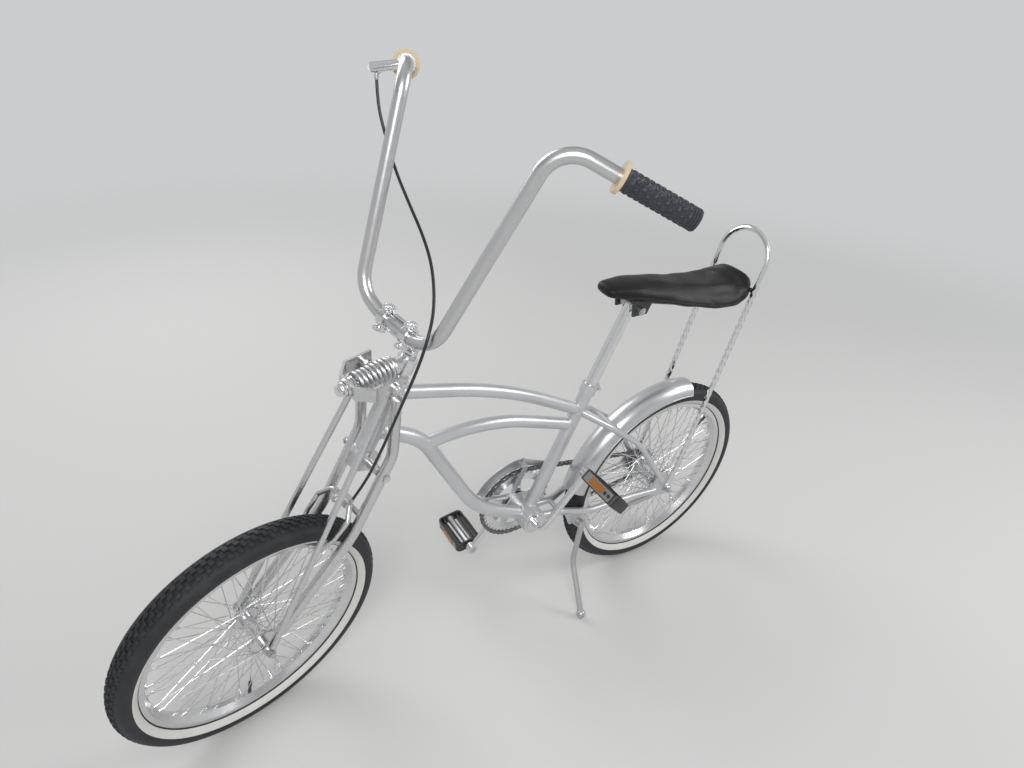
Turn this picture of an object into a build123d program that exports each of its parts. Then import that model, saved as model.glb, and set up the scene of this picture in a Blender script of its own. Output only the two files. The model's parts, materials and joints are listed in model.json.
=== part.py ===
from build123d import *

import math
import os

# A low-slung bicycle with a springer fork, tall handlebar and banana seat.
#
# Sizes are in millimetres. The bicycle is drawn upright and straight ahead: X forward, Y to the
# rider's left, Z up, with the ground under the rear axle as origin. The steered pieces are drawn
# along the steering axis, turned, and tilted into place. At the end the whole bicycle leans over
# on its side stand, with the lowest points of both tyres and of the stand on the ground.

# Stance
wheel_base = 970.0
head_angle = 63.8
fork_offset = 52.3
steer_turn = 14.1
stand_lean = 4.0

# Rims and tyres
rim_seat_radius = 203.5
rim_flange_height = 7.5
rim_depth = 9.5
rim_width = 31.0
rim_wall = 1.8
rim_floor_width = 10.0
tyre_height = 52.5
tyre_width = 55.0
tread_width = 40.0
tread_drop = 7.0
tyre_belly = 19.0
tyre_facets = 72

# Hubs, axles and spokes
axle_radius = 4.8
running_gap = 0.1
front_hub_half = 45.0
front_flange_radius = 28.0
front_flange_offset = 30.0
front_barrel_radius = 12.0
rear_hub_half = 50.0
rear_flange_radius = 31.0
rear_flange_offset = 33.0
rear_barrel_radius = 22.0
flange_thickness = 2.6
hub_neck_share = 0.75
spoke_radius = 0.95
spokes_per_flange = 36
spoke_crossing_turn = 62.0
spoke_seat = 3.3
spoke_hole_inset = 3.0
spoke_rim_offset = 3.5
axle_nut_radius = 9.0
axle_nut_height = 8.0
front_nut_height = 7.0
rear_axle_end = 7.0
front_axle_end = 6.0

# Drive
chain_pitch = 12.7
chain_pitches = 90
chainring_teeth = 44
sprocket_teeth = 18
sprocket_thickness = 3.0
tooth_height = 5.0
chain_line = 41.0
roller_radius = 3.9
roller_seat = 0.5
chain_plate_height = 8.4
chain_width = 8.6
chain_inner_gap = 4.6
tooth_gap = 1.0
bracket_rise = 23.0
bracket_shell_half = 34.0
bracket_shell_radius = 28.5
bracket_shell_wall = 2.6
cup_flange = 2.5
cup_lock_ring = 2.0
crank_length = 165.0
crank_angle = 121.0
crank_rod_radius = 7.6
crank_knee = 61.0
crank_eye_offset = 75.0
crank_eye_half = 7.5
crank_eye_radius = 12.5
crank_bend = 20.0
ring_window_inner = 30.0
ring_window_outer = 64.0
ring_windows = 5
ring_window_share = 0.74

# Pedals
pedal_length = 100.0
pedal_depth = 60.0
pedal_height = 25.0
pedal_wall = 5.0
pedal_corner = 9.0
pedal_gap = 12.5
pedal_pin_radius = 6.0
pedal_barrel_radius = 9.5
pedal_rail_offset = 17.0
pedal_rail_width = 4.0
pedal_rail_height = 17.0
left_pedal_tilt = 45.0
right_pedal_tilt = -8.0

# Chain guard
guard_inner = 90.0
guard_outer = 115.0
guard_start = 26.0
guard_end = 98.0
guard_bulge = 4.0
guard_sheet = 1.6
guard_side = 50.0
guard_tail = [(-108.0, 69.0), (-158.0, 54.0), (-158.0, 47.0), (-108.0, 57.0)]
guard_arm_side = 33.0
guard_arm_knee = (42.0, 60.0)

# Frame tubes
head_tube_low = 405.0
head_tube_length = 130.0
head_tube_radius = 18.0
head_tube_bore = 15.5
headset_height = 9.0
headset_radius = 20.0
main_tube_radius = 14.3
top_tube_radius = 12.7
seat_tube_radius = 14.3
seat_post_radius = 12.7
seat_tube_angle = 68.9
seat_tube_rise = 334.0
seat_post_rise = 506.0
seat_post_insert = 70.0
collar_wall = 3.0
collar_height = 20.0
binder_radius = 4.0
chain_stay_radius = 8.0
chain_stay_spread = 46.0
seat_stay_radius = 6.6
stay_bridge_radius = 5.5
dropout_thickness = 4.5
dropout_gap = 4.5

# Seat, as stations along its length: distance ahead of the post's top, half width, and the
# heights of the underside and of the crown above the post's top
seat_stations = [
    (85.0, 15.0, 39.0, 53.0),
    (73.0, 30.0, 34.0, 60.0),
    (20.0, 43.0, 25.0, 57.0),
    (-45.0, 53.0, 9.0, 46.0),
    (-115.0, 63.0, -8.0, 32.0),
    (-185.0, 72.0, -22.0, 22.0),
    (-235.0, 74.0, -25.0, 19.0),
    (-269.0, 66.0, -20.0, 25.0),
    (-287.0, 53.5, -10.0, 32.0),
    (-298.0, 42.0, 5.0, 28.0),
]
seat_edge_share = 0.8
seat_pan_half = 30.0
seat_pan_sheet = 3.0
seat_clamp_radius = 11.0
seat_clamp_half = 20.0
seat_bolt_radius = 4.5
seat_side_bolt_radius = 5.0

# Backrest bar and rear fender
sissy_half_width = 62.0
sissy_slope = 11.2
sissy_rise = 621.0
sissy_radius = 5.5
sissy_foot = 46.0
sissy_setback = 3.0
sissy_tab_thickness = 4.0
fender_gap = 14.0
fender_drop = 27.0
fender_side_gap = 5.5
fender_thickness = 1.6
fender_start = 11.0
fender_end = 100.0

# Fork
steerer_radius = 12.7
lug_drop = 29.0
lug_half = 15.0
lug_height = 30.0
pivot_setback = 20.0
pivot_radius = 5.0
pivot_head_radius = 8.0
pivot_head_height = 5.0
leg_radius = 10.0
leg_offset = 47.0
leg_tab_thickness = 4.0
leg_tab_gap = 3.5
strut_radius = 5.8
strut_eye = 4.5
locknut_height = 8.0
spring_ring_gap = 8.0
spring_ring_height = 26.0
spring_ring_radius = 18.0

# Fork spring: a compression spring round a bolt, with closed ends
spring_tilt = 30.0
spring_start = 18.0
spring_outer = 20.0
spring_wire = 3.0
spring_open_turns = 7
spring_cup_radius = 17.0
spring_cup_height = 4.0
spring_low = 10.0
spring_length = 76.0
spring_plate_height = 7.5
spring_bolt_radius = 5.0
spring_nut_radius = 9.5
spring_nut_height = 8.0
spring_outer_cup_height = 10.0
turn_steps = 12

# Spring yoke
yoke_half = 44.5
yoke_thickness = 4.5
yoke_back = 22.0
yoke_corner = 24.0
yoke_height_half = 13.0
yoke_bolt_reach = 36.0
yoke_bolt_drop = 3.0
yoke_bolt_radius = 4.0
yoke_bolt_head = 6.5
leg_eye = 5.0
leg_eye_radius = 10.0

# Front brake
bridge_drop = 91.0
caliper_reach = (18.0, 26.0)
caliper_arm_radius = 4.8
pad_gap = 2.5
pad_thickness = 6.0
pad_length = 40.0
pad_height = 7.0

# Handlebar and stem, as drawn along the steering axis
stem_gap = 6.0
stem_rise = 45.0
stem_radius = 12.0
stem_flare_low = 18.0
stem_flare_spread = (2.0, 22.0)
bar_radius = 11.1
bar_clamp_forward = 58.0
bar_clamp_half = 43.0
bar_elbow = (12.0, 93.0, 18.0)
bar_shoulder = (54.0, 156.0, 356.0)
bar_end = (-84.0, 311.0, 352.0)
bar_bends = (50.0, 60.0, 25.0)
clamp_radius = 16.5
clamp_half = 36.0
cap_width = 15.0
cap_centre = 28.0
clamp_bolt_spread = 18.5
clamp_bolt_radius = 4.5
clamp_bolt_reach = 17.0
clamp_ear = 5.0
grip_radius = 16.5
grip_length = 112.0
grip_cap = 4.0
grip_flange_radius = 23.0
grip_flange_width = 6.0
lever_spacing = 20.0
lever_clamp_half = 7.0
lever_length = 92.0
lever_radius = 4.5

# Brake cable, as drawn along the steering axis
cable_radius = 2.5
cable_points = [
    (95.0, -228.0, 958.0),
    (85.0, -212.0, 920.0),
    (70.0, -186.0, 884.0),
    (63.0, -139.0, 843.0),
    (63.0, -80.0, 810.0),
    (66.0, -22.0, 781.0),
    (69.0, 24.0, 750.0),
    (77.0, 68.0, 703.0),
    (90.0, 93.0, 658.0),
    (79.0, 91.0, 606.0),
    (62.0, 80.0, 550.0),
    (40.0, 66.0, 486.0),
    (22.0, 54.0, 425.0),
    (7.0, 42.0, 360.0),
    (0.0, 27.0, 305.0),
]

# Side stand
stand_radius = 6.5
stand_foot_radius = 10.5
stand_pivot_place = (245.0, 40.0, -26.0)
stand_axis_rise = 12.0
stand_knee = (256.0, 58.0, -131.0)
stand_foot = (266.0, 130.0)
stand_bend = 60.0
stand_pin_radius = 5.0
stand_collar_radius = 11.0
stand_collar_width = 8.0

# Sizes that follow from those above
tyre_radius = rim_seat_radius + tyre_height
rim_edge_radius = rim_seat_radius + rim_flange_height
rim_inner_radius = rim_seat_radius - rim_depth
axle_height = tyre_radius
bottom_bracket_height = axle_height + bracket_rise
dropout_inner = rear_hub_half + dropout_gap
dropout_outer = dropout_inner + dropout_thickness
sissy_tab_outer = dropout_outer + sissy_tab_thickness
rear_axle_half = sissy_tab_outer + axle_nut_height + rear_axle_end
leg_tab_inner = front_hub_half + leg_tab_gap
leg_tab_outer = leg_tab_inner + leg_tab_thickness
front_axle_half = leg_tab_outer + strut_eye + front_nut_height + front_axle_end
seat_tube_top = axle_height + seat_tube_rise
seat_post_top = axle_height + seat_post_rise
sissy_top = axle_height + sissy_rise
fender_radius = tyre_radius + fender_gap
fender_edge_radius = fender_radius - fender_drop
fender_half_width = tyre_width / 2 + fender_side_gap
head_tube_high = head_tube_low + head_tube_length
pivot_height = head_tube_low - lug_drop
brake_bridge_height = pivot_height - bridge_drop
pivot_half = leg_offset + leg_radius + pivot_head_height
locknut_high = head_tube_high + headset_height + locknut_height
spring_ring_low = locknut_high + spring_ring_gap
spring_ring_high = spring_ring_low + spring_ring_height
stem_low = spring_ring_high + stem_gap
bar_clamp_height = stem_low + stem_rise
spring_high = spring_low + spring_length
yoke_front = spring_high + spring_plate_height
stand_pivot = (stand_pivot_place[0], stand_pivot_place[1], axle_height + stand_pivot_place[2])

nodes = {}


def rod(start, end, radius):
    """A round bar from one point to another."""
    start = Vector(*start)
    run = Vector(*end) - start
    return extrude(Plane(origin=start, z_dir=run) * Circle(radius), run.length)


def bent_tube(points, bends, radius):
    """A round bar along straight runs joined by tangent bends."""
    path = FilletPolyline(*points, radius=bends)
    return sweep(Plane(origin=path @ 0, z_dir=path % 0) * Circle(radius), path=path)


def cross_ring(place, outer, inner, low, high):
    """A washer or sleeve whose axis runs across the bicycle."""
    ring = Circle(outer) - Circle(inner) if inner > 0 else Circle(outer)
    seat = Plane(origin=(place[0], low, place[1]), x_dir=(1, 0, 0), z_dir=(0, 1, 0))
    return extrude(seat * ring, high - low)


def side_plate(outline, low, high, centre=(0, 0)):
    """A flat plate seen from the side: outline in X and Z, from low to high across."""
    seat = Plane(origin=(centre[0], low, centre[1]), x_dir=(1, 0, 0), z_dir=(0, -1, 0))
    return extrude(seat * outline, high - low, dir=(0, 1, 0))


def mirrored(shape):
    """The same piece on the bicycle's other side."""
    return mirror(shape, about=Plane.XZ)


def both(shape):
    """A piece and its mirror image, as one node."""
    return Compound([shape, mirrored(shape)])


def polar(radius, angle):
    return (radius * math.cos(math.radians(angle)), radius * math.sin(math.radians(angle)))


def on_circle(centre, radius, angle):
    """A point of a circle seen from the side."""
    x, z = polar(radius, angle)
    return (centre[0] + x, centre[1] + z)


# Wheels, drawn about the Y axis
def wheel_ring(profile):
    """Spin a profile of lateral and radial sizes about the wheel's axis."""
    return revolve(Plane.YZ * profile, axis=Axis.Y)


def faceted(stations, outside=False):
    """A many-sided body along the wheel's axis, inside or outside the circles it goes through."""
    seats = [Plane(origin=(0, side, 0), x_dir=(1, 0, 0), z_dir=(0, 1, 0)) for side, radius in stations]
    flat_down = 180 / tyre_facets
    shapes = [RegularPolygon(radius, tyre_facets, not outside, flat_down) for side, radius in stations]
    return loft([seat * shape for seat, shape in zip(seats, shapes)], ruled=True)


def tyre():
    """A balloon tyre: bead in the rim, belly, shoulder and a slightly crowned tread."""
    bead = rim_width / 2 - rim_wall
    belly = (tyre_width / 2, rim_edge_radius + tyre_belly)
    shoulder = (tread_width / 2, tyre_radius - tread_drop)
    right = [belly, shoulder]
    left = [(-side, radius) for side, radius in right]
    casing = faceted([*left, (0, tyre_radius), *reversed(right)])
    casing -= faceted([(-bead, rim_seat_radius), (bead, rim_seat_radius)], True)
    casing -= faceted([(-belly[0], belly[1]), (-bead, rim_edge_radius)], True)
    return casing - faceted([(bead, rim_edge_radius), belly], True)


def rim():
    """A drop-centre rim with a well between its two brake flanges."""
    half = rim_width / 2
    well = rim_floor_width / 2
    seat = rim_seat_radius
    right = [(well, rim_inner_radius), (half, seat - 1), (half, rim_edge_radius)]
    inside = [(half - rim_wall, rim_edge_radius), (half - rim_wall, seat)]
    outline = right + inside
    outline += [(-side, radius) for side, radius in reversed(outline)]
    return wheel_ring(Polygon(*outline, align=None))


def hub(barrel, flange, offset, half):
    """A hub shell with two spoke flanges and a bore that runs on the axle."""
    edge = flange_thickness / 2
    neck = barrel * hub_neck_share
    right = [
        (half, axle_radius + running_gap),
        (half, neck),
        (offset + edge, neck),
        (offset + edge, flange),
        (offset - edge, flange),
        (offset - edge, barrel),
    ]
    left = [(-side, radius) for side, radius in reversed(right)]
    return wheel_ring(Polygon(*right, *left, align=None))


def spoke(start, end):
    """One thin wire, drawn with five sides to keep the wheel light."""
    start = Vector(*start)
    run = Vector(*end) - start
    return extrude(Plane(origin=start, z_dir=run) * RegularPolygon(spoke_radius, 5), run.length)


def spokes(flange, offset):
    """Crossed spokes: each flange sends half its spokes forward and half back."""
    bars = []
    step = 360 / spokes_per_flange
    for side in (-1, 1):
        for number in range(spokes_per_flange):
            lean = 1 if number % 2 else -1
            start = number * step + side * step / 4
            low = polar(flange - spoke_hole_inset, start)
            high = polar(rim_inner_radius, start + lean * spoke_crossing_turn)
            head = (low[0], side * (offset + lean * spoke_seat), low[1])
            nipple = (high[0], side * spoke_rim_offset, high[1])
            bars.append(spoke(head, nipple))
    return Compound(bars)


def toothed_disc(teeth, pitch_radius, bore):
    """A sprocket whose tooth tips stop short of the chain's rollers."""
    tip = pitch_radius - roller_radius - tooth_gap
    root = tip - tooth_height
    quarter = 90 / teeth
    points = []
    for number in range(teeth):
        middle = 360 * number / teeth
        points += [
            polar(root, middle - 1.6 * quarter),
            polar(tip, middle - 0.6 * quarter),
            polar(tip, middle + 0.6 * quarter),
            polar(root, middle + 1.6 * quarter),
        ]
    return Polygon(*points, align=None) - Circle(bore)


def ring_window(number):
    """One of the chainring's openings, a wedge between two of its arms."""
    span = 180 / ring_windows * ring_window_share
    middle = 360 / ring_windows * number + crank_angle
    outer = [polar(ring_window_outer, middle + span * share) for share in (-1, -0.33, 0.33, 1)]
    inner = [polar(ring_window_inner, middle + span * share) for share in (0.6, -0.6)]
    return Polygon(*outer, *inner, align=None)


ring_pitch_radius = chain_pitch / 2 / math.sin(math.pi / chainring_teeth)
cog_pitch_radius = chain_pitch / 2 / math.sin(math.pi / sprocket_teeth)


def chain_tilt(distance):
    """Half the angle between the chain's two straight runs."""
    return math.asin((ring_pitch_radius - cog_pitch_radius) / distance)


def loop_length(distance):
    """Length of the chain round both sprockets at a centre distance."""
    tilt = chain_tilt(distance)
    straight = 2 * distance * math.cos(tilt)
    wraps = ring_pitch_radius * (math.pi + 2 * tilt) + cog_pitch_radius * (math.pi - 2 * tilt)
    return straight + wraps


# The centre distance is the one at which the chain has a whole number of links
centre_distance = chain_pitches * chain_pitch / 3
for _ in range(40):
    centre_distance += (chain_pitches * chain_pitch - loop_length(centre_distance)) / 2
axle = (0.0, axle_height)
bracket = (math.sqrt(centre_distance**2 - bracket_rise**2), bottom_bracket_height)
chain_rise = math.degrees(math.atan2(bracket_rise, bracket[0]))
chain_lean = math.degrees(chain_tilt(centre_distance))
chain_upper = 90 + chain_rise + chain_lean
chain_lower = chain_rise - 90 - chain_lean
chain_straight = centre_distance * math.cos(math.radians(chain_lean))
ring_wrap = ring_pitch_radius * math.radians(chain_upper - chain_lower)
cog_wrap = cog_pitch_radius * math.radians(360 + chain_lower - chain_upper)


def loop_face(grow):
    """The area inside the chain's pitch line, grown outward, with a corner at each pin."""
    ring_steps = round(ring_wrap / chain_pitch)
    cog_steps = round(cog_wrap / chain_pitch)
    ring_turn = (chain_upper - chain_lower) / ring_steps
    cog_turn = (360 + chain_lower - chain_upper) / cog_steps
    points = []
    for number in range(ring_steps + 1):
        points.append(on_circle(bracket, ring_pitch_radius + grow, chain_upper - number * ring_turn))
    for number in range(cog_steps + 1):
        points.append(on_circle(axle, cog_pitch_radius + grow, chain_lower - number * cog_turn))
    return Polygon(*points, align=None)


def chain_point(distance):
    """The point of the chain's pitch line at a distance along it from the top of the cog."""
    top = on_circle(axle, cog_pitch_radius, chain_upper), on_circle(bracket, ring_pitch_radius, chain_upper)
    low = on_circle(bracket, ring_pitch_radius, chain_lower), on_circle(axle, cog_pitch_radius, chain_lower)
    if distance < chain_straight:
        return along(top, distance / chain_straight)
    distance -= chain_straight
    if distance < ring_wrap:
        return on_circle(bracket, ring_pitch_radius, chain_upper - math.degrees(distance / ring_pitch_radius))
    distance -= ring_wrap
    if distance < chain_straight:
        return along(low, distance / chain_straight)
    distance -= chain_straight
    return on_circle(axle, cog_pitch_radius, chain_lower - math.degrees(distance / cog_pitch_radius))


def along(ends, share):
    """A point part of the way from one end to the other."""
    return tuple(a + (b - a) * share for a, b in zip(*ends))


def chain():
    """A closed loop: two rows of side plates, with rollers between them at every pitch."""
    band = loop_face(chain_plate_height / 2) - loop_face(-chain_plate_height / 2)
    outer = chain_width / 2
    inner = chain_inner_gap / 2
    loop = side_plate(band, -chain_line - outer, -chain_line - inner)
    loop += side_plate(band, -chain_line + inner, -chain_line + outer)
    rollers = []
    for number in range(chain_pitches):
        spot = chain_point(number * chain_pitch)
        low = -chain_line - inner - roller_seat
        seat = Plane(origin=(spot[0], low, spot[1]), x_dir=(1, 0, 0), z_dir=(0, 1, 0))
        rollers.append(extrude(seat * RegularPolygon(roller_radius, 4), chain_inner_gap + 2 * roller_seat))
    return loop.fuse(*rollers)


# Frame, in the middle plane unless its name says otherwise
def on_steering_axis(height, forward=0.0, side=0.0):
    """A point given along the steering axis, in the upright bicycle's frame."""
    tilt = math.radians(head_angle)
    base_x = wheel_base - fork_offset * math.sin(tilt)
    base_z = axle_height - fork_offset * math.cos(tilt)
    return (
        base_x - height * math.cos(tilt) + forward * math.sin(tilt),
        side,
        base_z + height * math.sin(tilt) + forward * math.cos(tilt),
    )


def seat_line(height):
    """The seat tube's centre at a height above the ground."""
    run = (height - bracket[1]) / math.tan(math.radians(seat_tube_angle))
    return (bracket[0] - run, 0.0, height)


def behind_head(height, back, drop):
    """A point given from the steering axis at a height on it, back and down."""
    x, y, z = on_steering_axis(height)
    return (x - back, y, z - drop)


def from_bracket(forward, side, rise):
    return (bracket[0] + forward, side, bracket[1] + rise)


def above_axle(forward, side, rise):
    return (forward, side, axle_height + rise)


def build_frame():
    head_solid = rod(on_steering_axis(head_tube_low), on_steering_axis(head_tube_high), head_tube_radius)
    below = on_steering_axis(head_tube_low - headset_height)
    above = on_steering_axis(head_tube_high + headset_height)
    nodes["head_tube"] = head_solid - rod(below, above, head_tube_bore)

    shell_solid = cross_ring(bracket, bracket_shell_radius, 0, -bracket_shell_half, bracket_shell_half)
    shell_bore = bracket_shell_radius - bracket_shell_wall
    nodes["bottom_bracket_shell"] = shell_solid - cross_ring(
        bracket, shell_bore, 0, -bracket_shell_half, bracket_shell_half
    )

    seat_solid = rod(seat_line(bracket[1]), seat_line(seat_tube_top), seat_tube_radius)
    seat_bore = rod(seat_line(bracket[1] + 120), seat_line(seat_tube_top + 5), seat_post_radius)
    nodes["seat_tube"] = seat_solid - seat_bore - shell_solid

    down_low = head_tube_low + 37
    down_points = [
        on_steering_axis(down_low),
        behind_head(down_low, 93, 52),
        from_bracket(131, 0, 66),
        from_bracket(0, 0, 0),
    ]
    down_solid = bent_tube(down_points, [130, 220], main_tube_radius)
    nodes["down_tube"] = down_solid - head_solid - shell_solid

    top_high = head_tube_high - 19
    top_points = [on_steering_axis(top_high), behind_head(top_high, 225, 55), seat_line(axle_height + 276)]
    top_solid = bent_tube(top_points, [900], top_tube_radius)
    nodes["top_tube"] = top_solid - head_solid - seat_solid

    second_points = [
        behind_head(down_low, 106, 67),
        behind_head(down_low, 228, 51),
        seat_line(axle_height + 242),
    ]
    second_solid = bent_tube(second_points, [420], top_tube_radius)
    nodes["second_tube"] = second_solid - down_solid - seat_solid

    middle = dropout_inner + dropout_thickness / 2
    plate = Polygon((-22, -20), (10, -22), (46, -8), (50, 12), (34, 40), (14, 40), (-22, 20), align=None)
    plate -= Pos(-15, 0) * Rectangle(30 + 2 * axle_radius, 2 * axle_radius + 4 * running_gap)
    dropout = side_plate(plate, dropout_inner, dropout_outer, axle)
    nodes["dropouts"] = both(dropout)

    chain_points = [
        from_bracket(-14, 17, -3),
        from_bracket(-84, 22, -13),
        above_axle(228, chain_stay_spread - 1, 6),
        above_axle(112, chain_stay_spread + 2, 2),
        above_axle(34, middle, 1),
    ]
    chain_stay = bent_tube(chain_points, [60, 60, 200], chain_stay_radius) - shell_solid - dropout
    bridge = rod(from_bracket(-78, -20, -12), from_bracket(-78, 20, -12), stay_bridge_radius)
    bridge = bridge - chain_stay - mirrored(chain_stay)
    nodes["chain_stays"] = Compound([chain_stay, mirrored(chain_stay), bridge])

    stay_top = seat_line(axle_height + 274)
    seat_points = [
        (stay_top[0], seat_stay_radius + 1, stay_top[2]),
        above_axle(205, 41, 233),
        above_axle(112, chain_stay_spread, 162),
        above_axle(22, middle, 32),
    ]
    seat_stay = bent_tube(seat_points, [50, 260], seat_stay_radius) - seat_solid - dropout - top_solid
    upper_bridge = rod(above_axle(176, -42, 212), above_axle(176, 42, 212), stay_bridge_radius)
    upper_bridge = upper_bridge - seat_stay - mirrored(seat_stay)
    nodes["seat_stays"] = Compound([seat_stay, mirrored(seat_stay), upper_bridge])

    spindle_bore = crank_rod_radius + running_gap
    flange = bracket_shell_half + cup_flange
    cup = cross_ring(bracket, shell_bore, spindle_bore, bracket_shell_half - 9, bracket_shell_half)
    cup += cross_ring(bracket, bracket_shell_radius - 1, spindle_bore, bracket_shell_half, flange)
    cup += cross_ring(bracket, bracket_shell_radius - 8, spindle_bore, flange, flange + cup_lock_ring)
    nodes["bracket_cups"] = both(cup)

    bore = rod(below, above, steerer_radius + running_gap)
    lower_cup = rod(below, on_steering_axis(head_tube_low), headset_radius) - bore
    upper_cup = rod(on_steering_axis(head_tube_high), above, headset_radius) - bore
    nodes["headset_cups"] = Compound([lower_cup, upper_cup])


def sissy_line(height):
    """How far forward the backrest bar's sides are at a height above the ground."""
    return -sissy_setback - math.tan(math.radians(sissy_slope)) * (height - axle_height)


def build_seat():
    post_top = seat_line(seat_post_top)
    nodes["seat_post"] = rod(seat_line(seat_tube_top - seat_post_insert), post_top, seat_post_radius)

    collar_low = seat_tube_top - collar_height
    collar_radius = seat_tube_radius + collar_wall
    collar = rod(seat_line(collar_low), seat_line(seat_tube_top), collar_radius)
    collar -= rod(seat_line(collar_low - 2), seat_line(seat_tube_top + 2), seat_tube_radius)
    bolt_height = seat_tube_top - collar_height / 2
    bolt_x = seat_line(bolt_height)[0] - collar_radius - 3
    ear = Pos(bolt_x + 3, 0, bolt_height) * Box(14, 12, collar_height - 6)
    bolt = rod((bolt_x, -13, bolt_height), (bolt_x, 13, bolt_height), binder_radius)
    ear -= rod(seat_line(collar_low - 20), seat_line(seat_tube_top + 20), collar_radius - 0.1)
    nodes["seat_post_collar"] = collar + ear + bolt

    clamp_spot = (post_top[0], post_top[2])
    clamp = cross_ring(clamp_spot, seat_clamp_radius, 0, -seat_clamp_half, seat_clamp_half)
    clamp += cross_ring(clamp_spot, seat_bolt_radius, 0, -38, 38)
    for low in (-36, 28):
        clamp += cross_ring(clamp_spot, 8, 0, low, low + 8)
    nodes["seat_clamp"] = clamp - nodes["seat_post"]

    sections = []
    for forward, half, low, high in seat_stations:
        rise = (high - low) / 2
        edge = min(rise, half) * seat_edge_share
        corner = [(half, rise - edge), (half - 0.3 * edge, rise - 0.3 * edge), (half - edge, rise)]
        upper = corner + [(-side, up) for side, up in reversed(corner)]
        outline = Polygon(*upper, *((-side, -up) for side, up in upper), align=None)
        middle = (clamp_spot[0] + forward, 0, clamp_spot[1] + (low + high) / 2)
        sections.append(Plane(origin=middle, x_dir=(0, 1, 0), z_dir=(1, 0, 0)) * outline)
    pad = loft(sections, ruled=True)
    nodes["seat_pad"] = pad

    under = [(forward, low) for forward, half, low, high in seat_stations[2:7]]
    over = [(forward, low - seat_pan_sheet) for forward, low in reversed(under)]
    pan = side_plate(Polygon(*under, *over, align=None), -seat_pan_half, seat_pan_half, clamp_spot)
    ear = Polygon((-20, -12), (16, -12), (22, 24), (-34, 24), align=None)
    for low in (24, -28):
        pan += side_plate(ear, low, low + 4, clamp_spot)
    pan -= cross_ring(clamp_spot, seat_bolt_radius, 0, -40, 40)
    side_height = clamp_spot[1] + seat_stations[-2][2] + 12
    side_spot = (sissy_line(side_height), side_height)
    side_bolt = cross_ring(side_spot, seat_side_bolt_radius, 0, 0, sissy_half_width)
    side_bolt -= nodes["sissy_bar"]
    side_bolt -= pad
    nodes["seat_pan"] = Compound([pan - pad, side_bolt, mirrored(side_bolt)])


def fender_section():
    """The fender's cross-section: an arched sheet, in lateral and radial sizes."""
    half = fender_half_width
    inner = half - fender_thickness
    with BuildSketch() as section:
        with BuildLine():
            ThreePointArc((-half, fender_edge_radius), (0, fender_radius), (half, fender_edge_radius))
            Line((half, fender_edge_radius), (inner, fender_edge_radius))
            ThreePointArc(
                (inner, fender_edge_radius), (0, fender_radius - fender_thickness), (-inner, fender_edge_radius)
            )
            Line((-inner, fender_edge_radius), (-half, fender_edge_radius))
        make_face()
    return section.sketch


def build_rear():
    foot_height = axle_height + sissy_foot
    points = [
        (sissy_line(foot_height), sissy_half_width, foot_height),
        (sissy_line(sissy_top), sissy_half_width, sissy_top),
        (sissy_line(sissy_top), -sissy_half_width, sissy_top),
        (sissy_line(foot_height), -sissy_half_width, foot_height),
    ]
    bar = bent_tube(points, sissy_half_width - 1, sissy_radius)
    rise = sissy_foot + 16
    foot_x = sissy_line(axle_height + rise)
    outline = Polygon((-9, 0), (9, 0), (foot_x + 6, rise), (foot_x - 6, rise), align=None) + Circle(12)
    foot = side_plate(outline, dropout_outer, sissy_tab_outer, axle)
    foot -= cross_ring(axle, axle_radius, 0, dropout_inner, rear_axle_half)
    nodes["sissy_bar"] = bar + foot + mirrored(foot)

    fender = revolve(Plane.YZ * fender_section(), axis=Axis.Y, revolution_arc=fender_end - fender_start)
    nodes["rear_fender"] = Pos(axle[0], 0, axle[1]) * (Rot(0, 90 - fender_end, 0) * fender)

    spindle = cross_ring(axle, axle_radius, 0, -rear_axle_half, rear_axle_half)
    nut_high = sissy_tab_outer + axle_nut_height
    locknut = (-dropout_inner, -rear_hub_half - 0.6)
    for low, high in ((-nut_high, -sissy_tab_outer), locknut, (sissy_tab_outer, nut_high)):
        spindle += cross_ring(axle, axle_nut_radius, 0, low, high)
    nodes["rear_axle"] = spindle

    outline = Polygon((-9, 8), (-10, -6), (6, -17), (44, -27), (140, -24), (142, -12), (46, -14), (10, 6), align=None)
    arm = side_plate(outline, rear_hub_half + 1, dropout_inner, axle)
    arm -= cross_ring(axle, axle_radius, 0, rear_hub_half, dropout_inner + 1)
    strap = rod(above_axle(126, 47.52, 2.49), above_axle(138, 47.21, 2.9), chain_stay_radius + 1.4)
    strap += side_plate(Polygon((126, -20), (138, -20), (138, 2), (126, 2), align=None), 51, dropout_inner, axle)
    nodes["brake_arm"] = arm + (strap - nodes["chain_stays"])
    nodes["chain_guard"] = chain_guard()


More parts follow.
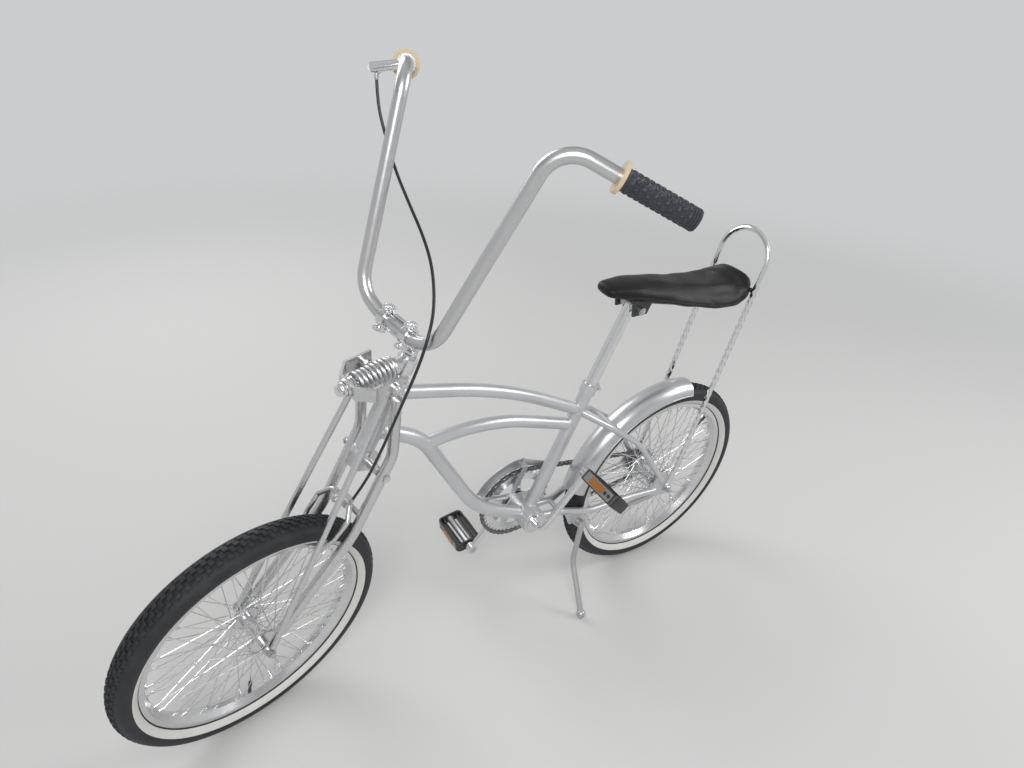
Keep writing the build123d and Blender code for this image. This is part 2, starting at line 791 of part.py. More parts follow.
def chain_guard():
    """A dished band over the chainring with a tail, carried from the bracket by two arms."""
    middle = (guard_inner + guard_outer) / 2
    with BuildSketch() as section:
        with BuildLine():
            ThreePointArc((guard_side, guard_inner), (guard_side + guard_bulge, middle), (guard_side, guard_outer))
            Line((guard_side, guard_outer), (guard_side - guard_sheet, guard_outer))
            ThreePointArc(
                (guard_side - guard_sheet, guard_outer),
                (guard_side + guard_bulge - guard_sheet, middle),
                (guard_side - guard_sheet, guard_inner),
            )
            Line((guard_side - guard_sheet, guard_inner), (guard_side, guard_inner))
        make_face()
    band = revolve(Plane.YZ * section.sketch, axis=Axis.Y, revolution_arc=guard_end - guard_start)
    band = Rot(0, 90 - guard_end, 0) * band

    root_high = polar(guard_outer - 1, guard_end - 3)
    root_low = polar(guard_inner + 7, guard_end - 3)
    tail_outline = Polygon(root_high, *guard_tail, root_low, align=None)
    guard = band + side_plate(tail_outline, guard_side - guard_sheet, guard_side)

    knee = polar(*guard_arm_knee)
    reach = (guard_inner + guard_outer) / 2 + 2
    collar = cross_ring((0, 0), bracket_shell_radius + 5, bracket_shell_radius, guard_arm_side - 6, guard_arm_side)
    guard += collar
    for angle, width in ((guard_end - 4, 13), (guard_start + 3, 7)):
        tip = polar(reach, angle)
        bar = Vector(tip[0] - knee[0], tip[1] - knee[1])
        across = Vector(-bar.Y, bar.X).normalized() * (width / 2)
        ends = ((knee, 1), (tip, 1), (tip, -1), (knee, -1))
        corners = [(spot[0] + side * across.X, spot[1] + side * across.Y) for spot, side in ends]
        guard += side_plate(Polygon(*corners, align=None), guard_arm_side - 2, guard_arm_side)
        lip = Pos(*tip) * (Rot(0, 0, angle) * Rectangle(2, width))
        guard += side_plate(lip, guard_arm_side - 2, guard_side + guard_bulge - guard_sheet / 2)
    root = polar(bracket_shell_radius + 2, guard_arm_knee[1])
    link = Polygon(
        (root[0] - 9, root[1] + 5), (knee[0] - 7, knee[1] + 2), (knee[0] + 6, knee[1] - 4), (root[0] + 9, root[1] - 5),
        align=None,
    )
    guard += side_plate(link, guard_arm_side - 2, guard_arm_side)
    return Pos(bracket[0], 0, bracket[1]) * mirrored(guard)


def build_wheel(name, barrel, flange, offset, half, centre):
    hub_shell = hub(barrel, flange, offset, half)
    hoop = rim()
    wires = spokes(flange, offset) - hub_shell - hoop
    pieces = {"tyre": tyre(), "rim": hoop, "hub": hub_shell, "spokes": Compound(wires.solids())}
    for piece, shape in pieces.items():
        nodes[f"{name}_{piece}"] = Pos(centre[0], 0, centre[1]) * shape


def pedal():
    """An open cage round a bright barrel, drawn about the Y axis from its inner end."""
    plan = RectangleRounded(pedal_depth, pedal_length, pedal_corner)
    opening = RectangleRounded(
        pedal_depth - 2 * pedal_wall, pedal_length - 2 * pedal_wall, pedal_corner - pedal_wall + 1
    )
    cage = extrude(plan - opening, pedal_height / 2, both=True)
    for side in (-1, 1):
        rail = Pos(side * pedal_rail_offset, 0) * Rectangle(pedal_rail_width, pedal_length - pedal_wall)
        cage += extrude(rail, pedal_rail_height / 2, both=True)
    cage = Pos(0, pedal_length / 2, 0) * cage
    barrel = cross_ring((0, 0), pedal_barrel_radius, 0, 0, pedal_length)
    pin = cross_ring((0, 0), pedal_pin_radius, 0, -pedal_gap - crank_eye_half, 0)
    return cage + barrel + pin


def build_drive():
    arm = polar(crank_length, crank_angle)
    points = [
        from_bracket(arm[0], crank_eye_offset, arm[1]),
        from_bracket(0, crank_knee, 0),
        from_bracket(0, -crank_knee, 0),
        from_bracket(-arm[0], -crank_eye_offset, -arm[1]),
    ]
    crank = bent_tube(points, crank_bend, crank_rod_radius)
    for side in (1, -1):
        spot = (bracket[0] + side * arm[0], bracket[1] + side * arm[1])
        low = side * crank_eye_offset - crank_eye_half
        high = side * crank_eye_offset + crank_eye_half
        crank -= cross_ring(spot, crank_eye_radius + 3, 0, low - 12, low)
        crank -= cross_ring(spot, crank_eye_radius + 3, 0, high, high + 12)
        crank += cross_ring(spot, crank_eye_radius, 0, low, high)
        crank -= cross_ring(spot, pedal_pin_radius + running_gap, 0, low - 1, high + 1)
    nodes["crank"] = crank

    disc = toothed_disc(chainring_teeth, ring_pitch_radius, crank_rod_radius)
    for number in range(ring_windows):
        disc -= ring_window(number)
    half = sprocket_thickness / 2
    nodes["chainring"] = side_plate(disc, -chain_line - half, -chain_line + half, bracket)
    cog = toothed_disc(sprocket_teeth, cog_pitch_radius, rear_barrel_radius * hub_neck_share)
    nodes["rear_sprocket"] = side_plate(cog, -chain_line - half, -chain_line + half, axle)
    nodes["chain"] = chain()

    inner = crank_eye_offset + pedal_gap
    left = Pos(0, inner, 0) * (Rot(0, -left_pedal_tilt, 0) * pedal())
    right = Pos(0, inner, 0) * (Rot(0, -right_pedal_tilt, 0) * pedal())
    nodes["pedal_left"] = Pos(bracket[0] + arm[0], 0, bracket[1] + arm[1]) * left
    nodes["pedal_right"] = Pos(bracket[0] - arm[0], 0, bracket[1] - arm[1]) * mirrored(right)


# Steered pieces, drawn along the steering axis
def fork_place(shape):
    """Take a piece drawn along the steering axis to the upright bicycle, turned to the left."""
    spot = on_steering_axis(0)
    return Pos(*spot) * (Rot(0, head_angle - 90, 0) * (Rot(0, 0, steer_turn) * shape))


def spring_direction():
    return Vector(math.cos(math.radians(spring_tilt)), 0, -math.sin(math.radians(spring_tilt)))


def spring_normal():
    return Vector(math.sin(math.radians(spring_tilt)), 0, math.cos(math.radians(spring_tilt)))


def along_spring(distance, lift=0.0):
    """A point of the spring's axis, from the steerer's ring forward and down."""
    origin = Vector(spring_start, 0, spring_ring_low + 11)
    return tuple(origin + spring_direction() * distance + spring_normal() * lift)


def fork_spring():
    """An open coil of six-sided wire, lofted turn by turn, with one closed turn at each end."""
    flat = spring_wire * math.cos(math.radians(30))
    closed_pitch = 2 * flat + 0.2
    open_length = spring_length - 2 * flat - 2 * closed_pitch
    turns = spring_open_turns + 2
    sections = []
    for number in range(turns * turn_steps + 1):
        turn = number / turn_steps
        opened = min(max(turn - 1, 0), spring_open_turns)
        closed = turn - opened
        place = spring_low + flat + closed * closed_pitch + opened * open_length / spring_open_turns
        angle = math.radians(360 * turn)
        radial = Vector(0, 1, 0) * math.cos(angle) + spring_normal() * math.sin(angle)
        travel = spring_normal() * math.cos(angle) - Vector(0, 1, 0) * math.sin(angle)
        centre = Vector(*along_spring(place)) + radial * (spring_outer - spring_wire)
        sections.append(Plane(origin=centre, x_dir=radial, z_dir=travel) * RegularPolygon(spring_wire, 6))
    return loft(sections, ruled=True)


def build_spring(pieces):
    """The spring with its bracket on the steerer, its bolt, cups and nut, and the yoke it pushes."""
    ring = rod((0, 0, spring_ring_low), (0, 0, spring_ring_high), spring_ring_radius)
    boss = rod(along_spring(-12), along_spring(spring_low - spring_cup_height), spring_cup_radius - 6)
    bore = rod((0, 0, spring_ring_low - 20), (0, 0, spring_ring_high + 20), steerer_radius)
    pieces["spring_bracket"] = ring + boss - bore

    outer_cup = yoke_front + yoke_thickness
    nut = outer_cup + spring_outer_cup_height
    bolt = rod(along_spring(spring_low - spring_cup_height), along_spring(nut), spring_bolt_radius)
    cups = (
        (spring_low - spring_cup_height, spring_low, spring_cup_radius),
        (spring_high, yoke_front, spring_cup_radius - 1),
        (outer_cup, outer_cup + spring_outer_cup_height / 2, spring_cup_radius - 1),
        (outer_cup + spring_outer_cup_height / 2, nut, spring_cup_radius - 4),
        (nut, nut + spring_nut_height, spring_nut_radius),
    )
    for low, high, radius in cups:
        bolt += rod(along_spring(low), along_spring(high), radius)
    pieces["spring_bolt"] = bolt
    pieces["fork_spring"] = fork_spring()

    front = yoke_front + yoke_thickness
    band = chamfer(Rectangle(2 * front, 2 * yoke_half).vertices(), yoke_corner)
    inner = Rectangle(2 * front - 2 * yoke_thickness, 2 * yoke_half - 2 * yoke_thickness)
    band -= chamfer(inner.vertices(), yoke_corner - yoke_thickness / 2)
    band &= Pos(front, 0) * Rectangle(2 * front - 2 * yoke_back, 4 * yoke_half)
    across = Plane(origin=along_spring(0), x_dir=spring_direction(), z_dir=spring_normal())
    yoke = extrude(across * band, yoke_height_half, both=True)
    yoke -= rod(along_spring(spring_high), along_spring(front + 10), spring_bolt_radius)
    pieces["spring_yoke"] = yoke


def build_fork():
    pieces = {}
    pivot = (-pivot_setback, pivot_height)
    headset_low = head_tube_low - headset_height
    lug_top = pivot_height + 2 + lug_height / 2
    steerer = rod((0, 0, pivot_height + 10), (0, 0, stem_low), steerer_radius)
    lug = Pos(-pivot_setback / 2 - 2, 0, pivot_height + 2) * Box(pivot_setback + 28, 2 * lug_half, lug_height)
    race = rod((0, 0, lug_top - 2), (0, 0, headset_low), headset_radius - 1)
    locknut = rod((0, 0, head_tube_high + headset_height), (0, 0, locknut_high), headset_radius - 3)
    pieces["steerer"] = steerer + lug + race + locknut - cross_ring(pivot, pivot_radius, 0, -30, 30)
    build_spring(pieces)

    yoke_bolt = along_spring(yoke_bolt_reach, -yoke_bolt_drop)
    yoke_spot = (yoke_bolt[0], yoke_bolt[2])
    pieces["spring_yoke"] -= cross_ring(yoke_spot, yoke_bolt_radius, 0, -60, 60)
    inside = yoke_half - yoke_thickness
    eye_outer = yoke_half + leg_eye

    bottom = (fork_offset, 0.0)
    leg_points = [
        (yoke_spot[0] - 4, leg_offset, yoke_spot[1] - 8),
        (pivot[0] - 1, leg_offset, pivot_height + 42),
        (pivot[0] - 2, leg_offset, pivot_height - 136),
        (fork_offset - 12, leg_offset, 38),
    ]
    leg = bent_tube(leg_points, [70, 200], leg_radius)
    leg -= cross_ring(yoke_spot, leg_radius + 8, 0, leg_offset - leg_radius - 1, yoke_half)
    leg -= cross_ring(yoke_spot, leg_radius + 8, 0, eye_outer, leg_offset + leg_radius + 1)
    leg -= pieces["spring_yoke"]
    leg += cross_ring(yoke_spot, leg_eye_radius, 0, yoke_half, eye_outer)
    tab = Polygon((-11, 0), (11, 0), (2, 58), (-14, 54), align=None) + Circle(11)
    leg += side_plate(tab, leg_tab_inner, leg_tab_outer, bottom)
    leg -= cross_ring(yoke_spot, yoke_bolt_radius, 0, 30, 70)
    leg -= cross_ring(pivot, pivot_radius, 0, 30, 70)
    leg -= cross_ring(bottom, axle_radius, 0, 30, 70)
    pieces["fork_legs"] = both(leg)

    strut_top = (yoke_spot[0] + 1, inside - strut_radius + 0.5, yoke_spot[1] - 6)
    strut_foot = (fork_offset + 1, leg_tab_outer + strut_radius + 1, 8)
    strut = rod(strut_top, strut_foot, strut_radius)
    strut -= cross_ring(yoke_spot, 12, 0, inside, 60)
    strut -= cross_ring(yoke_spot, 11, 0, 10, inside - 8)
    strut += cross_ring(yoke_spot, 9, 0, inside - 8, inside)
    strut -= cross_ring(bottom, 14, 0, leg_tab_outer + strut_eye, 80)
    strut -= cross_ring(bottom, 14, 0, 30, leg_tab_outer)
    strut += cross_ring(bottom, 9, 0, leg_tab_outer, leg_tab_outer + strut_eye)
    strut -= cross_ring(yoke_spot, yoke_bolt_radius, 0, 20, 70)
    strut -= cross_ring(bottom, axle_radius, 0, 30, 90)
    strut -= leg + pieces["spring_yoke"]
    pieces["truss_struts"] = both(strut)

    bolt = cross_ring(yoke_spot, yoke_bolt_radius, 0, inside - 12, eye_outer + 4)
    bolt += cross_ring(yoke_spot, yoke_bolt_head, 0, eye_outer, eye_outer + 4)
    bolt += cross_ring(yoke_spot, yoke_bolt_head, 0, inside - 12, inside - 8)
    pieces["yoke_bolts"] = both(bolt)

    bolt = cross_ring(pivot, pivot_radius, 0, -pivot_half, pivot_half)
    for side in (-1, 1):
        ends = sorted((side * (leg_offset + leg_radius), side * pivot_half))
        bolt += cross_ring(pivot, pivot_head_radius, 0, *ends)
    pieces["pivot_bolt"] = bolt
    spacer = cross_ring(pivot, pivot_head_radius, pivot_radius, lug_half, leg_offset - leg_radius + 2)
    pieces["pivot_spacers"] = both(spacer - leg)

    build_brake(pieces, leg)

    bolt = cross_ring(bottom, axle_radius, 0, -front_axle_half, front_axle_half)
    eye_end = leg_tab_outer + strut_eye
    for low, high, radius in (
        (front_hub_half + 0.6, leg_tab_inner, axle_nut_radius - 1),
        (eye_end, eye_end + front_nut_height, axle_nut_radius),
    ):
        bolt += cross_ring(bottom, radius, 0, low, high)
        bolt += cross_ring(bottom, radius, 0, -high, -low)
    pieces["front_axle"] = bolt
    return pieces


def build_brake(pieces, leg):
    """A side-pull rim brake on a cross bar between the fork's legs."""
    spot = (-pivot_setback - 1.5, brake_bridge_height)
    bridge = cross_ring(spot, 5, 0, -leg_offset, leg_offset)
    bridge += Pos(spot[0], 0, spot[1]) * Box(12, 18, 20)
    bridge -= leg + mirrored(leg)

    distance = math.hypot(spot[0] - fork_offset, spot[1])
    radial = Vector((spot[0] - fork_offset) / distance, 0, spot[1] / distance)
    normal = Vector(radial.Z, 0, -radial.X)
    pad_drop = (rim_edge_radius + rim_seat_radius) / 2 - distance
    pad_side = rim_width / 2 + pad_gap + pad_thickness / 2
    arm_side = pad_side + pad_thickness / 2 + caliper_arm_radius - 1.2

    def on_caliper(side, up, out):
        return tuple(Vector(spot[0], side, spot[1]) + normal * out + radial * up)

    whole = rod(on_caliper(0, 0, 6), on_caliper(0, 0, max(caliper_reach) + 10), 6)
    for side, out in zip((1, -1), caliper_reach):
        points = [
            on_caliper(-side * 16, 3, out),
            on_caliper(side * 22, 8, out),
            on_caliper(side * 41, -18, out),
            on_caliper(side * 39, pad_drop + 30, out),
            on_caliper(side * arm_side, pad_drop - 4, out),
        ]
        whole += bent_tube(points, 9, caliper_arm_radius)
        pad_spot = on_caliper(side * pad_side, pad_drop - 2, sum(caliper_reach) / 2)
        seat = Plane(origin=pad_spot, x_dir=(0, 1, 0), z_dir=radial)
        whole += seat * Box(pad_thickness, pad_length, pad_height)
    pieces["front_brake_caliper"] = whole
    pieces["brake_bridge"] = bridge - whole


def from_clamp(point):
    """A point of the handlebar, given from the middle of its clamp."""
    return (bar_clamp_forward + point[0], point[1], bar_clamp_height + point[2])


def build_bars():
    pieces = {}
    side_points = [from_clamp(bar_end), from_clamp(bar_shoulder), from_clamp(bar_elbow), from_clamp((0, bar_clamp_half, 0))]
    points = side_points + [(x, -y, z) for x, y, z in reversed(side_points)]
    bar = bent_tube(points, [*bar_bends, *reversed(bar_bends)], bar_radius)
    pieces["handlebar"] = bar
    end = Vector(*from_clamp(bar_end))
    run = (end - Vector(*from_clamp(bar_shoulder))).normalized()

    def on_bar(distance):
        return tuple(end + run * distance)

    core = rod(on_bar(-grip_length - 60), on_bar(0), bar_radius)
    grip = rod(on_bar(-grip_length), on_bar(grip_cap), grip_radius) - core
    pieces["grip_left"] = grip
    pieces["grip_right"] = mirrored(grip)
    flange = rod(on_bar(-grip_length - grip_flange_width), on_bar(-grip_length), grip_flange_radius)
    pieces["grip_flanges"] = both(flange - core)

    build_stem(pieces, bar)

    lever_spot = Vector(*on_bar(-grip_length - lever_spacing))
    collar = rod(tuple(lever_spot - run * lever_clamp_half), tuple(lever_spot + run * lever_clamp_half), 15)
    collar -= core
    pivot = lever_spot + Vector(43, 23, -31)
    arm_way = (pivot - lever_spot).normalized()
    arm = rod(tuple(lever_spot + arm_way * (bar_radius + 1.4)), tuple(pivot), 8)
    tip = pivot + run * lever_length + Vector(-8, -6, 4)
    blade = rod(tuple(pivot), tuple(tip), lever_radius)
    pieces["brake_lever"] = mirrored(collar + arm + blade + Pos(*tip) * Sphere(7)) - bar
    return pieces


def build_stem(pieces, bar):
    """A quill that flares into a half clamp, with two bolted caps in front of the bar."""
    spot = (bar_clamp_forward, bar_clamp_height)
    split = Pos(spot[0] + 50.4, 0, spot[1]) * Box(100, 200, 200)
    ear = Rectangle(2 * clamp_ear, 2 * clamp_bolt_spread + 11)
    body = cross_ring(spot, clamp_radius, 0, -clamp_half, clamp_half)
    for side in (-1, 1):
        middle = side * cap_centre
        body += side_plate(ear, middle - cap_width / 2, middle + cap_width / 2, spot)
    body -= split
    quill = rod((0, 0, stem_low), (0, 0, stem_low + stem_flare_low), stem_radius)
    stem = quill + body
    for side in (-1, 0, 1):
        foot = (0, side * stem_flare_spread[0], stem_low + stem_flare_low - stem_radius / 2)
        tip = (spot[0] - clamp_radius / 2, side * stem_flare_spread[1], spot[1] - clamp_radius / 3)
        stem += rod(foot, tip, stem_radius - 2)
    stem = stem - cross_ring(spot, bar_radius, 0, -60, 60) - split
    pieces["stem"] = stem - bar

    cap = cross_ring(spot, clamp_radius, 0, cap_centre - cap_width / 2, cap_centre + cap_width / 2)
    cap += side_plate(ear, cap_centre - cap_width / 2, cap_centre + cap_width / 2, spot)
    cap &= Pos(spot[0] + 50.6, 0, spot[1]) * Box(100, 200, 200)
    cap -= cross_ring(spot, bar_radius, 0, -60, 60)
    for side in (-1, 1):
        height = spot[1] + side * clamp_bolt_spread
        start = (spot[0] + clamp_ear - 1, cap_centre, height)
        cap += rod(start, (spot[0] + clamp_bolt_reach - 6, cap_centre, height), clamp_bolt_radius + 1.5)
        cap += rod(start, (spot[0] + clamp_bolt_reach, cap_centre, height), clamp_bolt_radius)
    pieces["stem_caps"] = both(cap - bar)


def cable_bends():
    """Each bend is as large as its two runs allow."""
    bends = []
    for before, corner, after in zip(cable_points, cable_points[1:], cable_points[2:]):
        back = Vector(*before) - Vector(*corner)
        ahead = Vector(*after) - Vector(*corner)
        turn = 180 - back.get_angle(ahead)
        bends.append(0.45 * min(back.length, ahead.length) / math.tan(math.radians(turn / 2)))
    return bends


def build_stand(foot_height):
    """The stand's bracket under the left chain stay, and its bent leg."""
    axis = Vector(0, math.cos(math.radians(stand_axis_rise)), math.sin(math.radians(stand_axis_rise)))
    pivot = Vector(*stand_pivot)
    collar = rod(tuple(pivot - axis * stand_collar_width), tuple(pivot), stand_collar_radius)
    plate = Polygon((-20, 0), (24, 0), (40, 36), (-30, 36), align=None)
    wall = side_plate(plate, stand_pivot[1] - 8, stand_pivot[1] - 3, (stand_pivot[0], stand_pivot[2]))
    holder = collar + wall
    holder -= rod(tuple(pivot - axis * 30), tuple(pivot + axis * 30), stand_pin_radius + running_gap)
    nodes["stand_bracket"] = holder - nodes["chain_stays"]
    pin = rod(tuple(pivot - axis * (stand_collar_width + 3)), tuple(pivot + axis * 4), stand_pin_radius)
    head = rod(tuple(pivot + axis * 0.4), tuple(pivot + axis * 16), stand_collar_radius - 0.5)
    knee = (stand_knee[0], stand_knee[1], axle_height + stand_knee[2])
    foot = (*stand_foot, foot_height)
    leg = bent_tube([tuple(pivot + axis * 11.5), knee, foot], stand_bend, stand_radius)
    nodes["side_stand"] = pin + head + leg + Pos(*foot) * Sphere(stand_foot_radius)


build_frame()
build_rear()
build_seat()
build_wheel("rear", rear_barrel_radius, rear_flange_radius, rear_flange_offset, rear_hub_half, axle)
build_drive()
fork = {**build_fork(), **build_bars(), "brake_cable": bent_tube(cable_points, cable_bends(), cable_radius)}
for name, shape in fork.items():
    nodes[name] = fork_place(shape)
front_hub_place = (fork_offset, 0)
build_wheel("front", front_barrel_radius, front_flange_radius, front_flange_offset, front_hub_half, front_hub_place)
for name in ("front_tyre", "front_rim", "front_hub", "front_spokes"):
    nodes[name] = fork_place(nodes[name])
nodes["chainring"] -= nodes["crank"]


# Park it: lean over to the left, then level both tyres and the stand on the ground
def lowest_of_tyre(centre, wheel_axis):
    """The lowest point of a tyre's crown line, from its centre and axis."""
    return centre.Z - tyre_radius * math.sqrt(1 - wheel_axis.Z**2)


def parked(point, pitch):
    """Where a point of the upright bicycle is once it leans and pitches."""
    return (Rot(0, pitch, 0) * (Rot(-stand_lean, 0, 0) * Vertex(*tuple(point)))).center()


turned = fork_place(Vertex(fork_offset, 0, 0)).center()
turned_side = fork_place(Vertex(fork_offset, 1, 0)).center() - turned
pitch = 0.0
for _ in range(12):
    rear_low = lowest_of_tyre(parked((0, 0, axle_height), pitch), parked((0, 1, 0), pitch))
    front_low = lowest_of_tyre(parked(turned, pitch), parked(turned_side, pitch))
    pitch += math.degrees((front_low - rear_low) / wheel_base)
place = Rot(0, pitch, 0) * Rot(-stand_lean, 0, 0)
foot_low = parked((*stand_foot, 0), pitch).Z
foot_rise = parked((*stand_foot, 1), pitch).Z - foot_low
build_stand((rear_low + stand_foot_radius - foot_low) / foot_rise)
stood = {name: place * shape for name, shape in nodes.items()}
boxes = [shape.bounding_box() for shape in stood.values()]
low = Vector(*(min(getattr(box.min, way) for box in boxes) for way in "XYZ"))
high = Vector(*(max(getattr(box.max, way) for box in boxes) for way in "XYZ"))
shift = Pos(-(low.X + high.X) / 2, -(low.Y + high.Y) / 2, -rear_low)

if __name__ == "__main__":
    print("pitch", round(pitch, 4), "cable bends", [round(bend) for bend in cable_bends()])
    os.makedirs("parts", exist_ok=True)
    for name, shape in stood.items():
        export_step(shift * shape, f"parts/{name}.step")
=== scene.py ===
# %% [markdown]
# A lowrider bicycle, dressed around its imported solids.
#
# The bicycle has a springer fork, a tall handlebar and a long padded seat on a twisted backrest
# bar. Its solids already stand at their real size and place. Each lesson below looks at one piece
# or one finish of the real bicycle, says how it could be made, and makes it on the solid that
# carries it.

# %% The frame, and the size it gives
import json
import math

import bpy
from mathutils import Matrix, Quaternion, Vector
from mathutils.bvhtree import BVHTree


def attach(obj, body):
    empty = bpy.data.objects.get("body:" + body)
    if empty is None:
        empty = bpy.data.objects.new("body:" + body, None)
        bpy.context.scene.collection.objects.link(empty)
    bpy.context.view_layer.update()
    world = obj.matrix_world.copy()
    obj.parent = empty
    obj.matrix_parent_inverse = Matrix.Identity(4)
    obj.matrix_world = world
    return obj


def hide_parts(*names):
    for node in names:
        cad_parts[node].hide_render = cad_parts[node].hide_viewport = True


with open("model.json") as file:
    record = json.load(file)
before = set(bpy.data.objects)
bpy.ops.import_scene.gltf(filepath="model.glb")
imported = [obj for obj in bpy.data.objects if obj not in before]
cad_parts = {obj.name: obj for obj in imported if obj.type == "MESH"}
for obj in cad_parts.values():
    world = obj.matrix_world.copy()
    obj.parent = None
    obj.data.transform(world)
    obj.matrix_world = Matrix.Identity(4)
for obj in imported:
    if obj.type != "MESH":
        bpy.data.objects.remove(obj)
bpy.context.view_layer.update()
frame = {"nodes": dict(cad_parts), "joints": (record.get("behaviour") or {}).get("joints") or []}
nodes = frame["nodes"]
joints = {joint["name"]: joint for joint in frame["joints"]}

# %% [markdown]
# Places on the bicycle.
#
# The bicycle leans on its stand and its fork is turned, so nothing on it is square to the floor,
# and a place read off the floor's axes would be guesswork. Each joint already says where its axle
# is and which way it points, so a small set of axes is built from the joints for each part that
# stays rigid. A piece is then drawn upright, in millimetres, and one matrix carries it home.

# %% Axes built from the joints
MM = 0.001
AXLE_HEIGHT = 256.0
BRACKET_RISE = 23.0
FORK_OFFSET = 52.3
LEFT = Vector((0, 1, 0))


def anchor(joint):
    return Vector(joints[joint]["pos_m"])


def direction(joint):
    return Vector(joints[joint]["axis"]).normalized()


def axes(origin, x, y):
    """A matrix from drawn millimetres to metres, with the given origin and X and Y axes."""
    turn = Matrix((x, y, x.cross(y))).transposed().to_4x4()
    return Matrix.Translation(origin) @ turn @ Matrix.Scale(MM, 4)


across = direction("rear_wheel_spin")
to_bracket = anchor("crank_spin") - anchor("rear_wheel_spin")
rise = math.asin(BRACKET_RISE * MM / to_bracket.length)
ahead = Quaternion(across, rise) @ to_bracket.normalized()
REAR_WHEEL = axes(anchor("rear_wheel_spin"), ahead, across)
BIKE = REAR_WHEEL @ Matrix.Translation((0, 0, -AXLE_HEIGHT))

steer_axis = direction("steering_turn")
fork_across = direction("front_wheel_spin")
FRONT_WHEEL = axes(anchor("front_wheel_spin"), fork_across.cross(steer_axis), fork_across)
FORK = FRONT_WHEEL @ Matrix.Translation((-FORK_OFFSET, 0, 0))
BRACKET = REAR_WHEEL.inverted() @ anchor("crank_spin")
print("bracket from rear axle, mm", [round(value, 1) for value in BRACKET])

# %% [markdown]
# The camera.
#
# The picture looks down from above the left front of the bicycle with a wide lens. Its place was
# solved from the two wheels and the steering axis. It is written here as the way from the rear
# axle, so that it follows the bicycle wherever its solids stand.

# %% Camera
CAMERA_FROM_AXLE = (1.1242, 1.0112, 1.0857)
CAMERA_TURN = (59.58, -3.482, 147.577)
LENS = 25.81

camera_data = bpy.data.cameras.new("camera")
camera_data.lens = LENS
camera_data.sensor_width = 36.0
camera = bpy.data.objects.new("camera", camera_data)
camera.location = anchor("rear_wheel_spin") + Vector(CAMERA_FROM_AXLE)
camera.rotation_euler = [math.radians(angle) for angle in CAMERA_TURN]
bpy.context.scene.collection.objects.link(camera)
bpy.context.scene.camera = camera
print("camera at", [round(value, 3) for value in camera.location])

# %% [markdown]
# Light and floor.
#
# Bright metal shows whatever stands around it. A single small lamp would give hard streaks, so
# large soft lamps stand above and beside the bicycle, and the pale floor gives the undersides of
# the tubes something to mirror. The room round them is pale up to a little above the horizon, darker
# above that and bright again overhead, so that each tube carries a bright line, a dark one and a
# soft glow. The floor fades out into the pale distance before its edge shows.

# %% Floor, lamps and world
FLOOR_COLOUR = (0.62, 0.62, 0.61, 1)
FLOOR_REACH = 8.0
FADE = (1.6, 4.2)
# Height of each band, from 0 straight down over 0.5 at the horizon to 1 overhead, and its grey.
ROOM_BANDS = ((0.50, 0.60), (0.65, 0.60), (0.72, 0.34), (0.85, 0.42), (1.0, 0.62))
ROOM_TINT = (1.0, 1.008, 1.018)
LAMP_AIM = (0, 0, 0.5)


def lamp(name, place, size, power):
    """A soft square lamp that looks at the middle of the bicycle."""
    data = bpy.data.lights.new(name, "AREA")
    data.shape = "SQUARE"
    data.size = size
    data.energy = power
    obj = bpy.data.objects.new(name, data)
    obj.location = place
    aim = Vector(LAMP_AIM) - Vector(place)
    obj.rotation_euler = aim.to_track_quat("-Z", "Y").to_euler()
    bpy.context.scene.collection.objects.link(obj)


lamp("lamp_front", (1.6, 2.4, 2.8), 1.6, 60)
lamp("lamp_side", (-2.6, 1.4, 2.2), 1.4, 34)
lamp("lamp_back", (0.4, -2.8, 2.4), 2.0, 40)

world = bpy.data.worlds.new("world")
world.use_nodes = True
room = world.node_tree
outlook = room.nodes.new("ShaderNodeTexCoord")
parts = room.nodes.new("ShaderNodeSeparateXYZ")
height = room.nodes.new("ShaderNodeMapRange")
height.inputs["From Min"].default_value = -1
bands = room.nodes.new("ShaderNodeValToRGB")
room.links.new(outlook.outputs["Generated"], parts.inputs[0])
room.links.new(parts.outputs["Z"], height.inputs["Value"])
room.links.new(height.outputs["Result"], bands.inputs["Fac"])
room.links.new(bands.outputs["Color"], room.nodes["Background"].inputs["Color"])
ramp = bands.color_ramp
while len(ramp.elements) < len(ROOM_BANDS):
    ramp.elements.new(1.0)
for stop, (place, grey) in zip(ramp.elements, ROOM_BANDS):
    stop.position = place
    stop.color = (*(grey * part for part in ROOM_TINT), 1)
bpy.context.scene.world = world
bpy.context.scene.view_settings.view_transform = "Standard"

floor_mesh = bpy.data.meshes.new("floor")
corners = [(-FLOOR_REACH, -FLOOR_REACH, 0), (FLOOR_REACH, -FLOOR_REACH, 0)]
corners += [(FLOOR_REACH, FLOOR_REACH, 0), (-FLOOR_REACH, FLOOR_REACH, 0)]
floor_mesh.from_pydata(corners, [], [(0, 1, 2, 3)])
floor = bpy.data.objects.new("floor", floor_mesh)
bpy.context.scene.collection.objects.link(floor)

# %% [markdown]
# A small language for finishes.
#
# A finish is a sum of fields: where it is worn, where dust lies, how fine the scratches are. Wiring
# such sums by hand hides the idea behind boxes and lines. Here a field wraps one socket and knows
# Python's operators, so that the sum reads as it is thought. Every other node comes from one method,
# which sets the node's settings first, because they can change which sockets it has.

